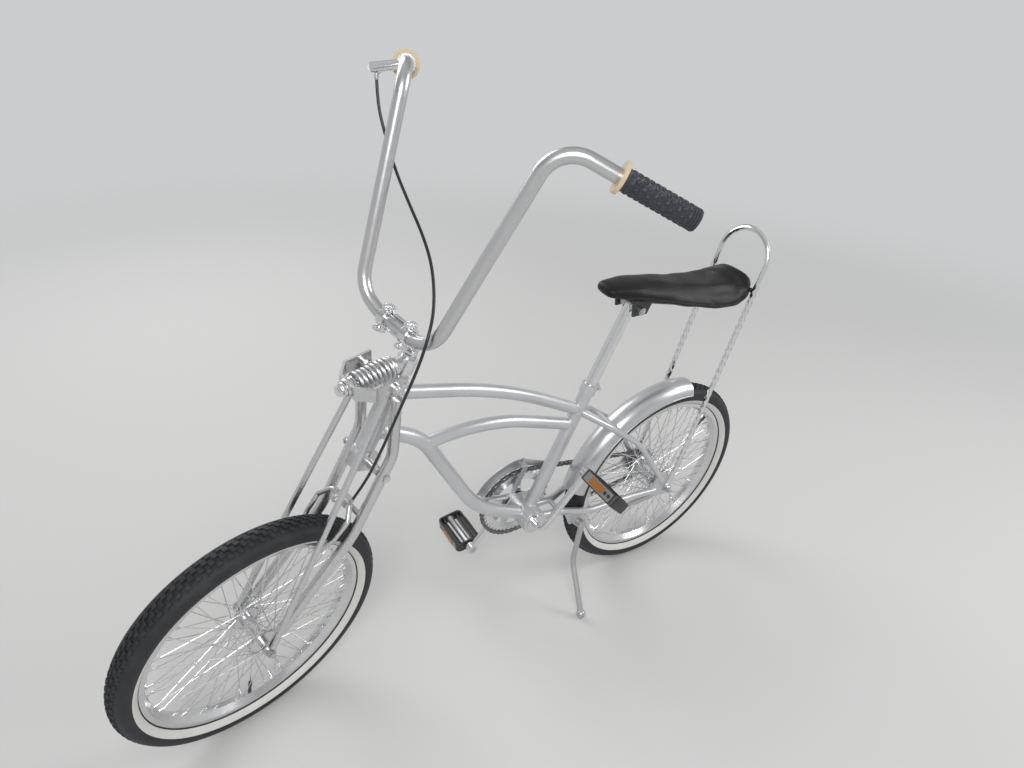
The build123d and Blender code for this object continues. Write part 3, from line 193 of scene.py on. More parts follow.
# %% Fields and finishes
class Field:
    """A number that varies over a surface. Its operators add Math nodes."""

    def __init__(self, finish, socket):
        self.finish = finish
        self.socket = socket

    def maths(self, operation, *values):
        return self.finish.node("ShaderNodeMath", {"operation": operation}, dict(enumerate(values)))

    def __add__(self, other):
        return self.maths("ADD", self, other)

    def __rsub__(self, other):
        return self.maths("SUBTRACT", other, self)

    def __mul__(self, other):
        return self.maths("MULTIPLY", self, other)

    def between(self, low, high):
        """0 below the low value, 1 above the high one, and a smooth rise from one to the other."""
        settings = {"interpolation_type": "SMOOTHSTEP"}
        sockets = {"Value": self, "From Min": low, "From Max": high}
        return self.finish.node("ShaderNodeMapRange", settings, sockets)


class Finish:
    """One material, built on a Principled surface."""

    def __init__(self, name, surface):
        self.material = bpy.data.materials.new(name)
        self.material.use_nodes = True
        self.tree = self.material.node_tree
        self.surface = self.tree.nodes["Principled BSDF"]
        self.place = self.tree.nodes.new("ShaderNodeTexCoord").outputs["Object"]
        self.set(surface)

    def feed(self, socket, value):
        """Link a field to a socket, or write a plain value into it."""
        if isinstance(value, Field):
            value = value.socket
        if isinstance(value, bpy.types.NodeSocket):
            self.tree.links.new(value, socket)
        else:
            socket.default_value = value

    def node(self, kind, settings, sockets, output=0):
        """Any node: its settings first, then the values or links of its sockets."""
        node = self.tree.nodes.new(kind)
        for name, value in settings.items():
            setattr(node, name, value)
        for name, value in sockets.items():
            self.feed(node.inputs[name], value)
        return Field(self, node.outputs[output])

    def set(self, surface):
        for name, value in surface.items():
            self.feed(self.surface.inputs[name], value)

    def mix(self, factor, first, second):
        """A colour that runs from the first to the second."""
        sockets = {0: factor, 6: first, 7: second}
        return self.node("ShaderNodeMix", {"data_type": "RGBA"}, sockets, 2)

    def noise(self, scale, detail=2.0, rough=0.5):
        sockets = {"Vector": self.place, "Scale": scale, "Detail": detail, "Roughness": rough}
        return self.node("ShaderNodeTexNoise", {}, sockets)

    def cells(self, scale):
        return self.node("ShaderNodeTexVoronoi", {}, {"Vector": self.place, "Scale": scale})

    def bump(self, height, strength, depth):
        sockets = {"Height": height, "Strength": strength, "Distance": depth}
        self.feed(self.surface.inputs["Normal"], self.node("ShaderNodeBump", {}, sockets))


def floor_finish():
    """Plain pale floor that fades out with its distance from the bicycle."""
    finish = Finish("floor_paint", {"Base Color": FLOOR_COLOUR, "Roughness": 0.8})
    away = finish.node("ShaderNodeVectorMath", {"operation": "LENGTH"}, {0: finish.place}, 1)
    finish.set({"Alpha": 1 - away.between(*FADE)})
    return finish.material


floor.data.materials.append(floor_finish())

# %% [markdown]
# Silver paint.
#
# The frame is painted silver over older paint. Such paint is half metal: its flakes mirror softly
# and its binder scatters. Close by, it shows faint clouds where the spray was thicker, fine dust
# nibs, and duller patches where hands and rain have been. Dark specks mark chips down to steel.

# %% Silver paint
def silver_paint(name, tone=0.60, rough=0.34):
    finish = Finish(name, {"Metallic": 0.72})
    clouds = finish.noise(14, 4)
    nibs = finish.noise(900, 2)
    chips = finish.noise(160, 5, 0.7).between(0.66, 0.70)
    thin = (tone * 0.86, tone * 0.87, tone * 0.90, 1)
    thick = (tone * 1.1, tone * 1.1, tone * 1.12, 1)
    base = finish.mix(clouds, thin, thick)
    finish.set({"Base Color": finish.mix(chips * 0.5, base, (0.10, 0.09, 0.08, 1))})
    finish.set({"Roughness": clouds * 0.16 + nibs * 0.08 + chips * 0.2 + (rough - 0.1)})
    finish.bump(nibs + chips * -1.5, 0.25, 0.0001)
    return finish.material


# %% [markdown]
# Chrome and other bright plate.
#
# Chrome is a mirror with a history. Away from the light it stays dark, so nearly all of its look
# comes from reflections, and the colour has to stay high and neutral. Age adds a fine haze of
# wiping scratches, and pinholes where the plate has lifted.

# %% Bright plate
def plate(name, tone=0.72, rough=0.12, haze=0.10, pits=0.5):
    finish = Finish(name, {"Metallic": 1.0})
    wipes = finish.noise(60, 3, 0.6)
    fine = finish.noise(1400, 1)
    holes = finish.noise(420, 3, 0.6).between(0.66, 0.74)
    bright = (tone, tone, tone * 1.01, 1)
    finish.set({"Base Color": finish.mix(holes * pits, bright, (0.16, 0.12, 0.08, 1))})
    finish.set({"Roughness": wipes * haze + holes * 0.3 + rough})
    finish.bump(fine + holes * -2.0, 0.12, 0.0001)
    return finish.material


# %% [markdown]
# Rubber and plastics.
#
# Tyre rubber is almost black, with a brown or blue cast, and dust sits in its hollows. The white
# wall is the same rubber with white filler, greyed by scuffing. Small moulded plastics are smoother
# and keep a faint sheen.

# %% Rubber and plastics
def rubber(name, colour, dust=0.35, rough=0.62, grain=500):
    finish = Finish(name, {"Specular IOR Level": 0.4})
    dull = finish.noise(38, 5, 0.65).between(0.42, 0.72)
    pores = finish.noise(grain, 3, 0.6)
    pale = tuple(part * 1.7 + 0.035 for part in colour) + (1,)
    finish.set({"Base Color": finish.mix(dull * dust, (*colour, 1), pale)})
    finish.set({"Roughness": dull * 0.2 + pores * 0.1 + (rough - 0.1)})
    finish.bump(pores, 0.35, 0.0003)
    return finish.material


def plastic(name, colour, rough=0.3):
    finish = Finish(name, {"Base Color": (*colour, 1), "Coat Weight": 0.15})
    marks = finish.noise(120, 4, 0.6)
    finish.set({"Roughness": marks * 0.25 + (rough - 0.1)})
    finish.bump(finish.noise(700, 2), 0.12, 0.0002)
    return finish.material


# %% [markdown]
# Vinyl.
#
# Seat vinyl is embossed cloth-backed plastic. Its grain is a net of small cells, it shines where it
# is stretched and is duller in the hollows, and fine creases run where it is pulled round a corner.

# %% Vinyl
def vinyl(name, colour):
    finish = Finish(name, {"Specular IOR Level": 0.3})
    grain = finish.cells(750)
    creases = finish.noise(26, 4, 0.6)
    dust = finish.noise(9, 3, 0.7).between(0.5, 0.8)
    pale = tuple(part * 1.6 + 0.006 for part in colour) + (1,)
    finish.set({"Base Color": finish.mix(dust * 0.6, (*colour, 1), pale)})
    finish.set({"Roughness": grain * 0.25 + creases * 0.12 + 0.24})
    finish.bump(grain * -0.6 + creases * 2.2, 0.5, 0.0006)
    return finish.material


# %% [markdown]
# One finish for each kind of piece.
#
# Each solid keeps its own shape where that shape is right, and only takes its finish. The table
# says which finish goes with which pieces, by the words in their names.

# %% The finishes, and the solids that take them
FRAME_PAINT = silver_paint("frame_paint")
BAR_PLATE = plate("bar_plate", 0.60, 0.24, 0.14, 0.35)
CHROME = plate("chrome", 0.74, 0.10, 0.12, 0.6)
FORK_PLATE = plate("fork_plate", 0.64, 0.20, 0.16, 0.7)
SPRING_PLATE = plate("spring_plate", 0.72, 0.26, 0.06, 0.15)
ZINC = plate("zinc", 0.52, 0.32, 0.18, 0.5)
RIM_PLATE = plate("rim_plate", 0.70, 0.16, 0.16, 0.4)
CHAIN_STEEL = plate("chain_steel", 0.22, 0.38, 0.2, 0.8)
FENDER_PAINT = silver_paint("fender_paint", 0.58, 0.28)
TYRE_BLACK = rubber("tyre_black", (0.016, 0.017, 0.020))
WHITE_WALL = rubber("white_wall", (0.62, 0.61, 0.59), 0.1, 0.5)
GRIP_GREY = rubber("grip_grey", (0.030, 0.034, 0.043), 0.3, 0.46, 900)
CREAM = plastic("flange_cream", (0.62, 0.50, 0.34))
CABLE_BLACK = plastic("cable_black", (0.012, 0.012, 0.014), 0.35)
PEDAL_BLACK = plastic("pedal_black", (0.02, 0.02, 0.022), 0.42)
PEDAL_PANEL = plastic("pedal_panel", (0.22, 0.215, 0.20), 0.3)
AMBER = plastic("reflector_amber", (0.36, 0.125, 0.025), 0.16)
VINYL = vinyl("seat_vinyl", (0.006, 0.006, 0.007))

FINISHES = {
    "head_tube top_tube second_tube down_tube seat_tube bottom_bracket_shell chain_stays": FRAME_PAINT,
    "seat_stays dropouts chain_guard stand_bracket seat_post_collar": FRAME_PAINT,
    "rear_fender": FENDER_PAINT,
    "handlebar": BAR_PLATE,
    "headset_cups bracket_cups seat_post stem stem_caps spring_bracket crank": CHROME,
    "sissy_bar brake_lever fork_spring": CHROME,
    "steerer fork_legs truss_struts spring_yoke pivot_spacers brake_bridge": FORK_PLATE,
    "front_brake_caliper": FORK_PLATE,
    "spring_bolt yoke_bolts pivot_bolt front_axle rear_axle seat_clamp brake_arm side_stand": ZINC,
    "front_rim rear_rim front_hub rear_hub front_spokes rear_spokes": RIM_PLATE,
    "chain rear_sprocket": CHAIN_STEEL,
    "chainring": CHROME,
    "pedal_left pedal_right seat_pan": PEDAL_BLACK,
    "front_tyre rear_tyre seat_pad": TYRE_BLACK,
    "grip_left grip_right": GRIP_GREY,
    "grip_flanges": CREAM,
    "brake_cable": CABLE_BLACK,
}
for names, material in FINISHES.items():
    for name in names.split():
        nodes[name].data.materials.clear()
        nodes[name].data.materials.append(material)
print("finishes on", sum(len(names.split()) for names in FINISHES), "of", len(nodes), "solids")

# %% [markdown]
# Making meshes.
#
# Most of the bicycle is either turned or drawn along a line. Three helpers cover that: a lathe, which
# spins a profile about the axle, a turn, which stacks rings along any line, and a sweep, which carries
# a section along points and can twist it on the way. The sweep turns its section as little as it can
# from one point to the next, so that a tube doesn't wring itself in a bend. Where drawing won't do,
# a piece takes the mesh that its modifiers make.

# %% Mesh helpers
def spread(first, last, count):
    """Evenly spaced numbers, both ends included."""
    return [first + (last - first) * step / (count - 1) for step in range(count)]


def polar(radius, degrees):
    return radius * math.cos(math.radians(degrees)), radius * math.sin(math.radians(degrees))


def disc(radius, sides):
    """A round section."""
    turns = [2 * math.pi * side / sides for side in range(sides)]
    return [(radius * math.cos(turn), radius * math.sin(turn)) for turn in turns]


def bevelled(half_wide, half_high, corner):
    """A four-sided section with small bevels at its corners."""
    flat, tall = half_wide - corner, half_high - corner
    right = [(half_wide, -tall), (half_wide, tall), (flat, half_high)]
    left = [(-flat, half_high), (-half_wide, tall), (-half_wide, -tall)]
    return right + left + [(-flat, -half_high), (flat, -half_high)]


class Shape:
    """Points and faces that are gathered before they become one mesh. A face's kind is its material."""

    def __init__(self):
        self.points = []
        self.faces = []
        self.kinds = []

    def add(self, points, faces, kind=0):
        start = len(self.points)
        self.points += [Vector(point) for point in points]
        self.faces += [[start + index for index in face] for face in faces]
        self.kinds += [kind] * len(faces)

    def join(self, other, place):
        """Add another shape, moved by a matrix."""
        self.add([place @ point for point in other.points], other.faces)
        self.kinds[-len(other.kinds):] = other.kinds

    def rings(self, rings, closed=False, kind=0):
        """Skin a row of rings, each with the same number of points, and cap its ends if it has any."""
        count = len(rings[0])
        rows = len(rings)
        faces = []
        for row in range(rows if closed else rows - 1):
            here, after = row * count, (row + 1) % rows * count
            for column in range(count):
                beside = (column + 1) % count
                faces.append((here + column, here + beside, after + beside, after + column))
        if not closed:
            faces.append(tuple(reversed(range(count))))
            faces.append(tuple((rows - 1) * count + column for column in range(count)))
        self.add([point for ring in rings for point in ring], faces, kind)

    def lathe(self, profile, steps):
        """Spin a closed profile of (across, radius) points about the Y axis."""
        points = []
        faces = []
        count = len(profile)
        for step in range(steps):
            angle = 2 * math.pi * step / steps
            here, after = step * count, (step + 1) % steps * count
            for column, (across, radius) in enumerate(profile):
                beside = (column + 1) % count
                points.append((radius * math.cos(angle), across, radius * math.sin(angle)))
                faces.append((here + column, after + column, after + beside, here + beside))
        self.add(points, faces)

    def sweep(self, path, section, twist=None, closed=False):
        """Carry a section of (x, y) points along a path of points."""
        path = [Vector(point) for point in path]
        tangents = []
        for index in range(len(path)):
            before = path[index - 1] if index or closed else path[0]
            after = path[(index + 1) % len(path)] if index < len(path) - 1 or closed else path[-1]
            tangents.append((after - before).normalized())
        start = LEFT if abs(tangents[0].y) < 0.9 else Vector((1, 0, 0))
        side = (start - tangents[0] * start.dot(tangents[0])).normalized()
        rings = []
        for index, (point, tangent) in enumerate(zip(path, tangents)):
            if index:
                side = tangents[index - 1].rotation_difference(tangent) @ side
            x = Quaternion(tangent, twist[index]) @ side if twist else side
            y = tangent.cross(x)
            rings.append([point + x * u + y * v for u, v in section])
        self.rings(rings, closed)

    def turn(self, start, way, stations, sides, kind=0):
        """Stack round or many-sided rings along a line, at (distance, radius) pairs."""
        way = Vector(way).normalized()
        turn = Vector((0, 0, 1)).rotation_difference(way)
        rings = []
        for distance, radius in stations:
            centre = Vector(start) + way * distance
            rings.append([centre + turn @ Vector((x, y, 0)) for x, y in disc(radius, sides)])
        self.rings(rings, kind=kind)


def piece(name, shape, materials, place, body, instead_of=None, crease=None):
    """A shape drawn in millimetres, carried to its place, that rides on a body.

    It takes the finishes it is given, and hides the solid that it stands for. Its edges stay sharp
    where they are sharper than the crease, in degrees.
    """
    mesh = bpy.data.meshes.new(name)
    mesh.from_pydata([place @ point for point in shape.points], [], shape.faces)
    for material in materials:
        mesh.materials.append(material)
    mesh.polygons.foreach_set("material_index", shape.kinds)
    mesh.update()
    mesh.shade_smooth()
    if crease:
        mesh.set_sharp_from_angle(angle=math.radians(crease))
    obj = bpy.data.objects.new(name, mesh)
    bpy.context.scene.collection.objects.link(obj)
    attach(obj, body)
    if instead_of:
        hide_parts(instead_of)
    return obj


def applied(obj, *modifiers):
    """Add modifiers to an object, and replace its mesh by what they make of it."""
    for kind, settings in modifiers:
        modifier = obj.modifiers.new(kind.lower(), kind)
        for name, value in settings.items():
            setattr(modifier, name, value)
    graph = bpy.context.evaluated_depsgraph_get()
    mesh = bpy.data.meshes.new_from_object(obj.evaluated_get(graph))
    material = obj.data.materials[0]
    obj.modifiers.clear()
    obj.data = mesh
    mesh.name = obj.name
    mesh.materials.clear()
    mesh.materials.append(material)
    mesh.shade_smooth()
    print(obj.name, "has", len(mesh.polygons), "faces")


# %% [markdown]
# Tyres.
#
# The wide tyres carry a block tread: two rows of blocks beside the middle, one row further out on
# each side, an edge row that reaches down the shoulder, and a plain side wall with a white band
# beside the rim. Blocks could be bump, but from above they break the outline, so each one is a small
# tapered box seated on the turned casing.

# %% Tyres
TYRE_RADIUS = 255.35
TREAD_HALF = 20.0
CROWN_DROP = 7.0
WHITE_BAND = (212.5, 225.0)
# Half of the casing's profile, from the bead to the crown: distance from the middle, and radius.
CASING = [
    (13.2, 206), (13.6, 211), (17.5, 213), (21.5, 217), (24.2, 221), (26.0, 225), (27.2, 230),
    (27.4, 234), (26.6, 239), (24.4, 243.5), (20.5, 247), (14, 249.7), (7, 251.4), (0, 252.0),
]
CASING_STEPS = 192
BLOCKS = 86
# Rows of blocks: both sides' distance from the middle, length, and shift in steps between two blocks.
BLOCK_ROWS = (
    (1.0, 7.6, 11.0, 0.0),
    (-7.6, -1.0, 11.0, 0.5),
    (9.4, 15.4, 10.0, 0.5),
    (-15.4, -9.4, 10.0, 0.0),
)
# A block's rings from its root up: height over the tread, and share of the full size.
BLOCK_RINGS = ((-5.0, 1.0), (-0.8, 0.86), (-0.15, 0.72))
# Edge blocks: the upper corner, then the lower corner and length of short ones and of long ones.
EDGE_TOP = (16.6, 248.6)
EDGE_FEET = (((24.8, 240.5), 6.0), ((26.4, 236.5), 7.5))
EDGE_RINGS = ((-1.76, 1.0), (0.605, 0.9), (1.1, 0.76))
EDGE_SPREAD = 0.55
EDGE_SHIFTS = {-1: 0.75, 1: 0.25}


def crown_radius(side):
    """The radius of the finished tread at a distance from the middle."""
    return TYRE_RADIUS - CROWN_DROP * (side / TREAD_HALF) ** 2


def block(shape, low, high, length, turn):
    """One tread block between two distances from the middle."""
    middle = (low + high) / 2
    rings = []
    for lift, grow in BLOCK_RINGS:
        ring = []
        for side, along in ((low, -1), (high, -1), (high, 1), (low, 1)):
            y = middle + (side - middle) * grow
            radius = crown_radius(y) + lift
            angle = turn + along * length / 2 * grow / radius
            ring.append((radius * math.cos(angle), y, radius * math.sin(angle)))
        rings.append(ring)
    shape.rings(rings)


def edge_block(shape, side, turn, foot, length):
    """A block that wraps the shoulder."""
    rings = []
    for lift, grow in EDGE_RINGS:
        ring = []
        for (width, radius), along in ((EDGE_TOP, -1), (foot, -1), (foot, 1), (EDGE_TOP, 1)):
            y = side * (width + lift * EDGE_SPREAD)
            radius += lift
            angle = turn + along * length / 2 * grow / radius
            ring.append((radius * math.cos(angle), y, radius * math.sin(angle)))
        rings.append(ring if side > 0 else ring[::-1])
    shape.rings(rings)


def tyre(name, place, body, solid):
    """A casing with its white bands and all its blocks."""
    shape = Shape()
    shape.lathe(CASING + [(-width, radius) for width, radius in reversed(CASING[:-1])], CASING_STEPS)
    for number, face in enumerate(shape.faces):
        radii = [math.hypot(shape.points[index].x, shape.points[index].z) for index in face]
        if WHITE_BAND[0] < sum(radii) / len(radii) < WHITE_BAND[1]:
            shape.kinds[number] = 1
    step = 2 * math.pi / BLOCKS
    for number in range(BLOCKS):
        for low, high, length, shift in BLOCK_ROWS:
            block(shape, low, high, length, (number + shift) * step)
        for side, shift in EDGE_SHIFTS.items():
            edge_block(shape, side, (number + shift) * step, *EDGE_FEET[number % 2])
    piece(name, shape, [TYRE_BLACK, WHITE_WALL], place, body, solid, 30)


tyre("front_tyre_casing", FRONT_WHEEL, "front_wheel", "front_tyre")
tyre("rear_tyre_casing", REAR_WHEEL, "rear_wheel", "rear_tyre")

# %% [markdown]
# Spokes.
#
# Each wheel has seventy-two wires. A real wire hooks through its hole in the flange, crosses its
# neighbours and ends in a nipple at the rim. The wires are swept with a small elbow at the flange,
# and each nipple is a short thicker sleeve. All of one wheel's wires are one mesh.

# %% Spokes and nipples
SPOKES_PER_FLANGE = 36
SPOKE_RADIUS = 1.0
SPOKE_CROSSING = 62.0
HOLE_INSET = 3.0
HEAD_SIDE = 2.6
ELBOW_SIDE = 3.3
ELBOW_LENGTH = 2.5
TIP_RADIUS = 195.0
TIP_SIDE = 3.5
NIPPLE_RADIUS = 1.9
NIPPLE_RINGS = (-13, -12.6, -4, 2)


def wires(name, flange, offset, place, body, solid):
    shape = Shape()
    step = 360 / SPOKES_PER_FLANGE
    for side in (-1, 1):
        for number in range(SPOKES_PER_FLANGE):
            lean = 1 if number % 2 else -1
            start = number * step + side * step / 4
            x, z = polar(flange - HOLE_INSET, start)
            head = Vector((x, side * (offset - lean * HEAD_SIDE), z))
            bend = Vector((x, side * (offset + lean * ELBOW_SIDE), z))
            x, z = polar(TIP_RADIUS, start + lean * SPOKE_CROSSING)
            end = Vector((x, side * TIP_SIDE, z))
            way = (end - bend).normalized()
            shape.sweep([head, bend, bend + way * ELBOW_LENGTH, end], disc(SPOKE_RADIUS, 8))
            shape.sweep([end + way * reach for reach in NIPPLE_RINGS], disc(NIPPLE_RADIUS, 8))
    piece(name, shape, [RIM_PLATE], place, body, solid, 40)


wires("front_wires", 28.0, 30.0, FRONT_WHEEL, "front_wheel", "front_spokes")
wires("rear_wires", 31.0, 33.0, REAR_WHEEL, "rear_wheel", "rear_spokes")

# %% [markdown]
# The fork's spring.
#
# The springer fork rides on one open coil of thick plated wire, seven open turns with a turn at each
# end that lies close to the next. It is swept in short steps, so that the wire stays round.

# %% Spring
SPRING_ORIGIN = Vector((18.0, 0.0, 571.0))
SPRING_TILT = math.radians(30.0)
SPRING_WAY = Vector((math.cos(SPRING_TILT), 0, -math.sin(SPRING_TILT)))
SPRING_SIDE = Vector((math.sin(SPRING_TILT), 0, math.cos(SPRING_TILT)))
COIL_START = 10.0
COIL_LENGTH = 76.0
COIL_RADIUS = 17.0
COIL_WIRE = 3.0
COIL_STEPS = 30
OPEN_TURNS = 7
CLOSED_PITCH = 2 * COIL_WIRE * math.cos(math.pi / 6) + 0.2
OPEN_PITCH = (COIL_LENGTH - 2 * COIL_WIRE - 2 * CLOSED_PITCH) / OPEN_TURNS


def coil():
    path = []
    for step in range((OPEN_TURNS + 2) * COIL_STEPS + 1):
        turn = step / COIL_STEPS
        opened = min(max(turn - 1, 0), OPEN_TURNS)
        place = COIL_START + COIL_WIRE + (turn - opened) * CLOSED_PITCH + opened * OPEN_PITCH
        angle = 2 * math.pi * turn
        spoke = LEFT * math.cos(angle) + SPRING_SIDE * math.sin(angle)
        path.append(SPRING_ORIGIN + SPRING_WAY * place + spoke * COIL_RADIUS)
    shape = Shape()
    shape.sweep(path, disc(COIL_WIRE, 14))
    piece("fork_coil", shape, [SPRING_PLATE], FORK, "steering", "fork_spring", 60)


coil()

# %% [markdown]
# The twisted backrest bar.
#
# The tall bar behind the seat is a square rod, wrung along its two legs while hot and left smooth
# round its top. Its path is the solid's: two legs that lean back, joined by a half circle. The twist
# is added while the square section travels, and fades in and out at the legs' ends.

# %% Backrest bar
BAR_HALF = 62.0
BAR_SLOPE = math.tan(math.radians(11.2))
BAR_BEHIND = 3.0
BAR_TOP = 877.0
BAR_FOOT = AXLE_HEIGHT + 46.0
BAR_SIDE = 4.6
BAR_CORNER = 0.5
BAR_STEP = 3.0
HALF_TWIST = 36.0
TWIST_FADE = 12.0
PLAIN_LENGTH = 26.0
# A tab's outline about the axle: radius and angles of its round lower end, then its top's corners.
EYE = (12.0, 190, 350)
TAB_TOP = [(-9.3, BAR_FOOT - AXLE_HEIGHT + 16), (-21.3, BAR_FOOT - AXLE_HEIGHT + 16)]
TAB_SIDES = ((-63.0, -59.0), (59.0, 63.0))


def backrest():
    """The wrung bar, and the two flat tabs that bolt it to the axle."""
    bow = BAR_TOP - BAR_HALF
    leg = [BAR_FOOT + BAR_STEP * step for step in range(int((bow - BAR_FOOT) / BAR_STEP))]
    arc = [polar(BAR_HALF, degrees) for degrees in spread(0, 180, 41)]
    places = [(BAR_HALF, height) for height in leg]
    places += [(side, bow + above) for side, above in arc]
    places += [(-BAR_HALF, height) for height in reversed(leg)]
    path = []
    twist = []
    turned = 0.0
    for side, height in places:
        path.append((-BAR_BEHIND - BAR_SLOPE * (height - AXLE_HEIGHT), side, height))
        share = min(1.0, (height - BAR_FOOT) / TWIST_FADE, (bow - PLAIN_LENGTH - height) / TWIST_FADE)
        turned += max(share, 0) * BAR_STEP / HALF_TWIST * math.pi
        twist.append(turned)
    shape = Shape()
    shape.sweep(path, bevelled(BAR_SIDE, BAR_SIDE, BAR_CORNER), twist)
    radius, first, last = EYE
    tab = [polar(radius, degrees) for degrees in spread(first, last, 11)] + TAB_TOP
    for sides in TAB_SIDES:
        shape.rings([[(x, side, AXLE_HEIGHT + z) for x, z in tab] for side in sides])
    piece("backrest_bar", shape, [CHROME], BIKE, "frame", "sissy_bar", 50)


backrest()

# %% [markdown]
# The seat.
#
# A long narrow seat is a shaped pan with foam glued on it and vinyl pulled over the foam. The nose
# is slim, the middle dips for the rider, and the tail is wide and kicks up before the backrest bar.
# Foam under tight vinyl swells a little between its edges, which no drawn curve quite gets, so a
# slightly smaller shape is inflated by a cloth simulation while its underside stays pinned to the
# pan. The piping along the edge is sewn on afterwards, because it is finer than the cloth's mesh.

# %% Seat pad
POST_TOP = 762.0
SEAT_TUBE_ANGLE = 68.9
CLAMP_X = BRACKET.x - (POST_TOP - AXLE_HEIGHT - BRACKET.z) / math.tan(math.radians(SEAT_TUBE_ANGLE))
# From nose to tail: distance ahead of the clamp, half width, and underside and crown over the post.
SEAT_STATIONS = [
    (85.0, 15.0, 39.0, 53.0),
    (73.0, 30.0, 34.0, 60.0),
    (20.0, 43.0, 25.0, 57.0),
    (-45.0, 53.0, 9.0, 46.0),
    (-115.0, 63.0, -8.0, 32.0),
    (-185.0, 72.0, -22.0, 22.0),
    (-235.0, 74.0, -25.0, 19.0),
    (-269.0, 66.0, -20.0, 25.0),
    (-287.0, 53.5, -10.0, 32.0),
    (-298.0, 42.0, 5.0, 28.0),
]
NOSE = SEAT_STATIONS[0][0]
TAIL = SEAT_STATIONS[-1][0]
# How much of the way between two sections is eased. The powers square a round section: the lower
# one is, the fuller is the edge, the crown or the underside.
EASED = 0.4
EDGE_POWER = 0.62
CROWN_POWER = 0.85
PAN_POWER = 0.45
FOAM_INSET = 3.0
FOAM_ENDS = (NOSE - 4, TAIL + 3)
VOXEL = 0.005
FACING_DOWN = -0.55
PRESSURE = 4
SWELLING_FRAMES = 20
MOST_SWELL = 0.007
PIPING_RADIUS = 2.1
PIPING_LIFT = 0.0006
PIPING_HEIGHT = 0.34
PIPING_ENDS = (NOSE - 6, TAIL + 10)
PIPING_NOSE = [(CLAMP_X + NOSE, y, POST_TOP + 43) for y in (-7, 0, 7)]
PIPING_TAIL = [(CLAMP_X + TAIL, y, POST_TOP + 13) for y in (30, 18, 6, -6, -18, -30)]


def seat_at(forward):
    """Half width, underside and crown of the seat at a place along its length."""
    for front, back in zip(SEAT_STATIONS, SEAT_STATIONS[1:]):
        if back[0] <= forward <= front[0]:
            share = (front[0] - forward) / (front[0] - back[0])
            share = share * share * (3 - 2 * share) * EASED + share * (1 - EASED)
            return [a + (b - a) * share for a, b in zip(front[1:], back[1:])]
    return SEAT_STATIONS[-1][1:]


def seat_ring(forward):
    """One section of the foam: flat below, full at the edge, crowned above."""
    half, low, high = seat_at(forward)
    half -= FOAM_INSET
    high -= FOAM_INSET
    rise = (high - low) / 2
    ring = []
    for x, z in disc(1, 32):
        out = math.copysign(abs(x) ** EDGE_POWER, x)
        up = math.copysign(abs(z) ** (CROWN_POWER if z > 0 else PAN_POWER), z)
        ring.append((CLAMP_X + forward, out * half, POST_TOP + low + rise * (1 + up)))
    return ring


def inflate(obj):
    """Swell a closed shape with its underside pinned, and stop each point after a short way."""
    before = [vertex.co.copy() for vertex in obj.data.vertices]
    up = (BIKE.to_3x3() @ Vector((0, 0, 1))).normalized()
    underside = [polygon for polygon in obj.data.polygons if polygon.normal.dot(up) < FACING_DOWN]
    group = obj.vertex_groups.new(name="pan")
    group.add(list({index for polygon in underside for index in polygon.vertices}), 1.0, "REPLACE")
    cloth = obj.modifiers.new("cloth", "CLOTH")
    cloth.settings.vertex_group_mass = "pan"
    cloth.settings.use_pressure = True
    cloth.settings.uniform_pressure_force = PRESSURE
    cloth.settings.effector_weights.gravity = 0
    for number in range(SWELLING_FRAMES):
        bpy.context.scene.frame_set(number + 1)
    applied(obj)
    for vertex, start in zip(obj.data.vertices, before):
        way = vertex.co - start
        if way.length > MOST_SWELL:
            vertex.co = start + way * (MOST_SWELL / way.length)
    bpy.context.scene.frame_set(1)


def seat_pad():
    shape = Shape()
    shape.rings([seat_ring(forward) for forward in spread(*FOAM_ENDS, 61)])
    obj = piece("seat_vinyl", shape, [VINYL], BIKE, "frame", instead_of="seat_pad")
    applied(obj, ("REMESH", {"mode": "VOXEL", "voxel_size": VOXEL}))
    inflate(obj)
    smooth = ("SMOOTH", {"factor": 0.5, "iterations": 4})
    applied(obj, smooth, ("SUBSURF", {"levels": 1, "render_levels": 1}))
    return obj


def smoothed(path):
    """A closed path with each point pulled towards its neighbours."""
    for _ in range(3):
        neighbours = zip(path[-1:] + path, path, path[1:] + path[:1])
        path = [(before + here * 2 + after) / 4 for before, here, after in neighbours]
    return path


def piping(obj):
    """A sewn cord that follows the pad's lower edge, laid on the finished surface."""
    points = [vertex.co for vertex in obj.data.vertices]
    tree = BVHTree.FromPolygons(points, [polygon.vertices for polygon in obj.data.polygons])
    left = []
    for forward in spread(*PIPING_ENDS, 49):
        half, low, high = seat_at(forward)
        left.append((CLAMP_X + forward, half, POST_TOP + low + (high - low) * PIPING_HEIGHT))
    path = []
    for point in PIPING_NOSE + left + PIPING_TAIL + [(x, -y, z) for x, y, z in reversed(left)]:
        spot, normal = tree.find_nearest(BIKE @ Vector(point))[:2]
        path.append((spot + normal * PIPING_LIFT) / MM)
    shape = Shape()
    shape.sweep(smoothed(path), disc(PIPING_RADIUS, 8), closed=True)
    piece("seat_piping", shape, [VINYL], Matrix.Scale(MM, 4), "frame")


piping(seat_pad())

# %% [markdown]
# Nuts, bolts and washers.
#
# The eye reads a machine by its fasteners: six flats with a chamfer, a washer that catches the
# light, and a short end of thread past the nut. Each is a stack of rings along one line, so one
# helper turns them all, with six sides for a hexagon and many for the rest.

# %% Fasteners
AXLE_RADIUS = 4.6
THREAD_RADIUS = 4.7
THREAD_PITCH = 1.3
NUT_RADIUS = 9.0
CONE_RADIUS = 8.0
WASHER_HEIGHT = 1.6
# Shares of a nut's height and radius, of a dome's height, and of a thread's radius.
CHAMFERS = [(0, 0.9), (0.12, 1), (0.85, 1), (1, 0.86)]
COLLAR = 0.2
THREAD_ROOT = 0.86
THREAD_TIP = 0.7


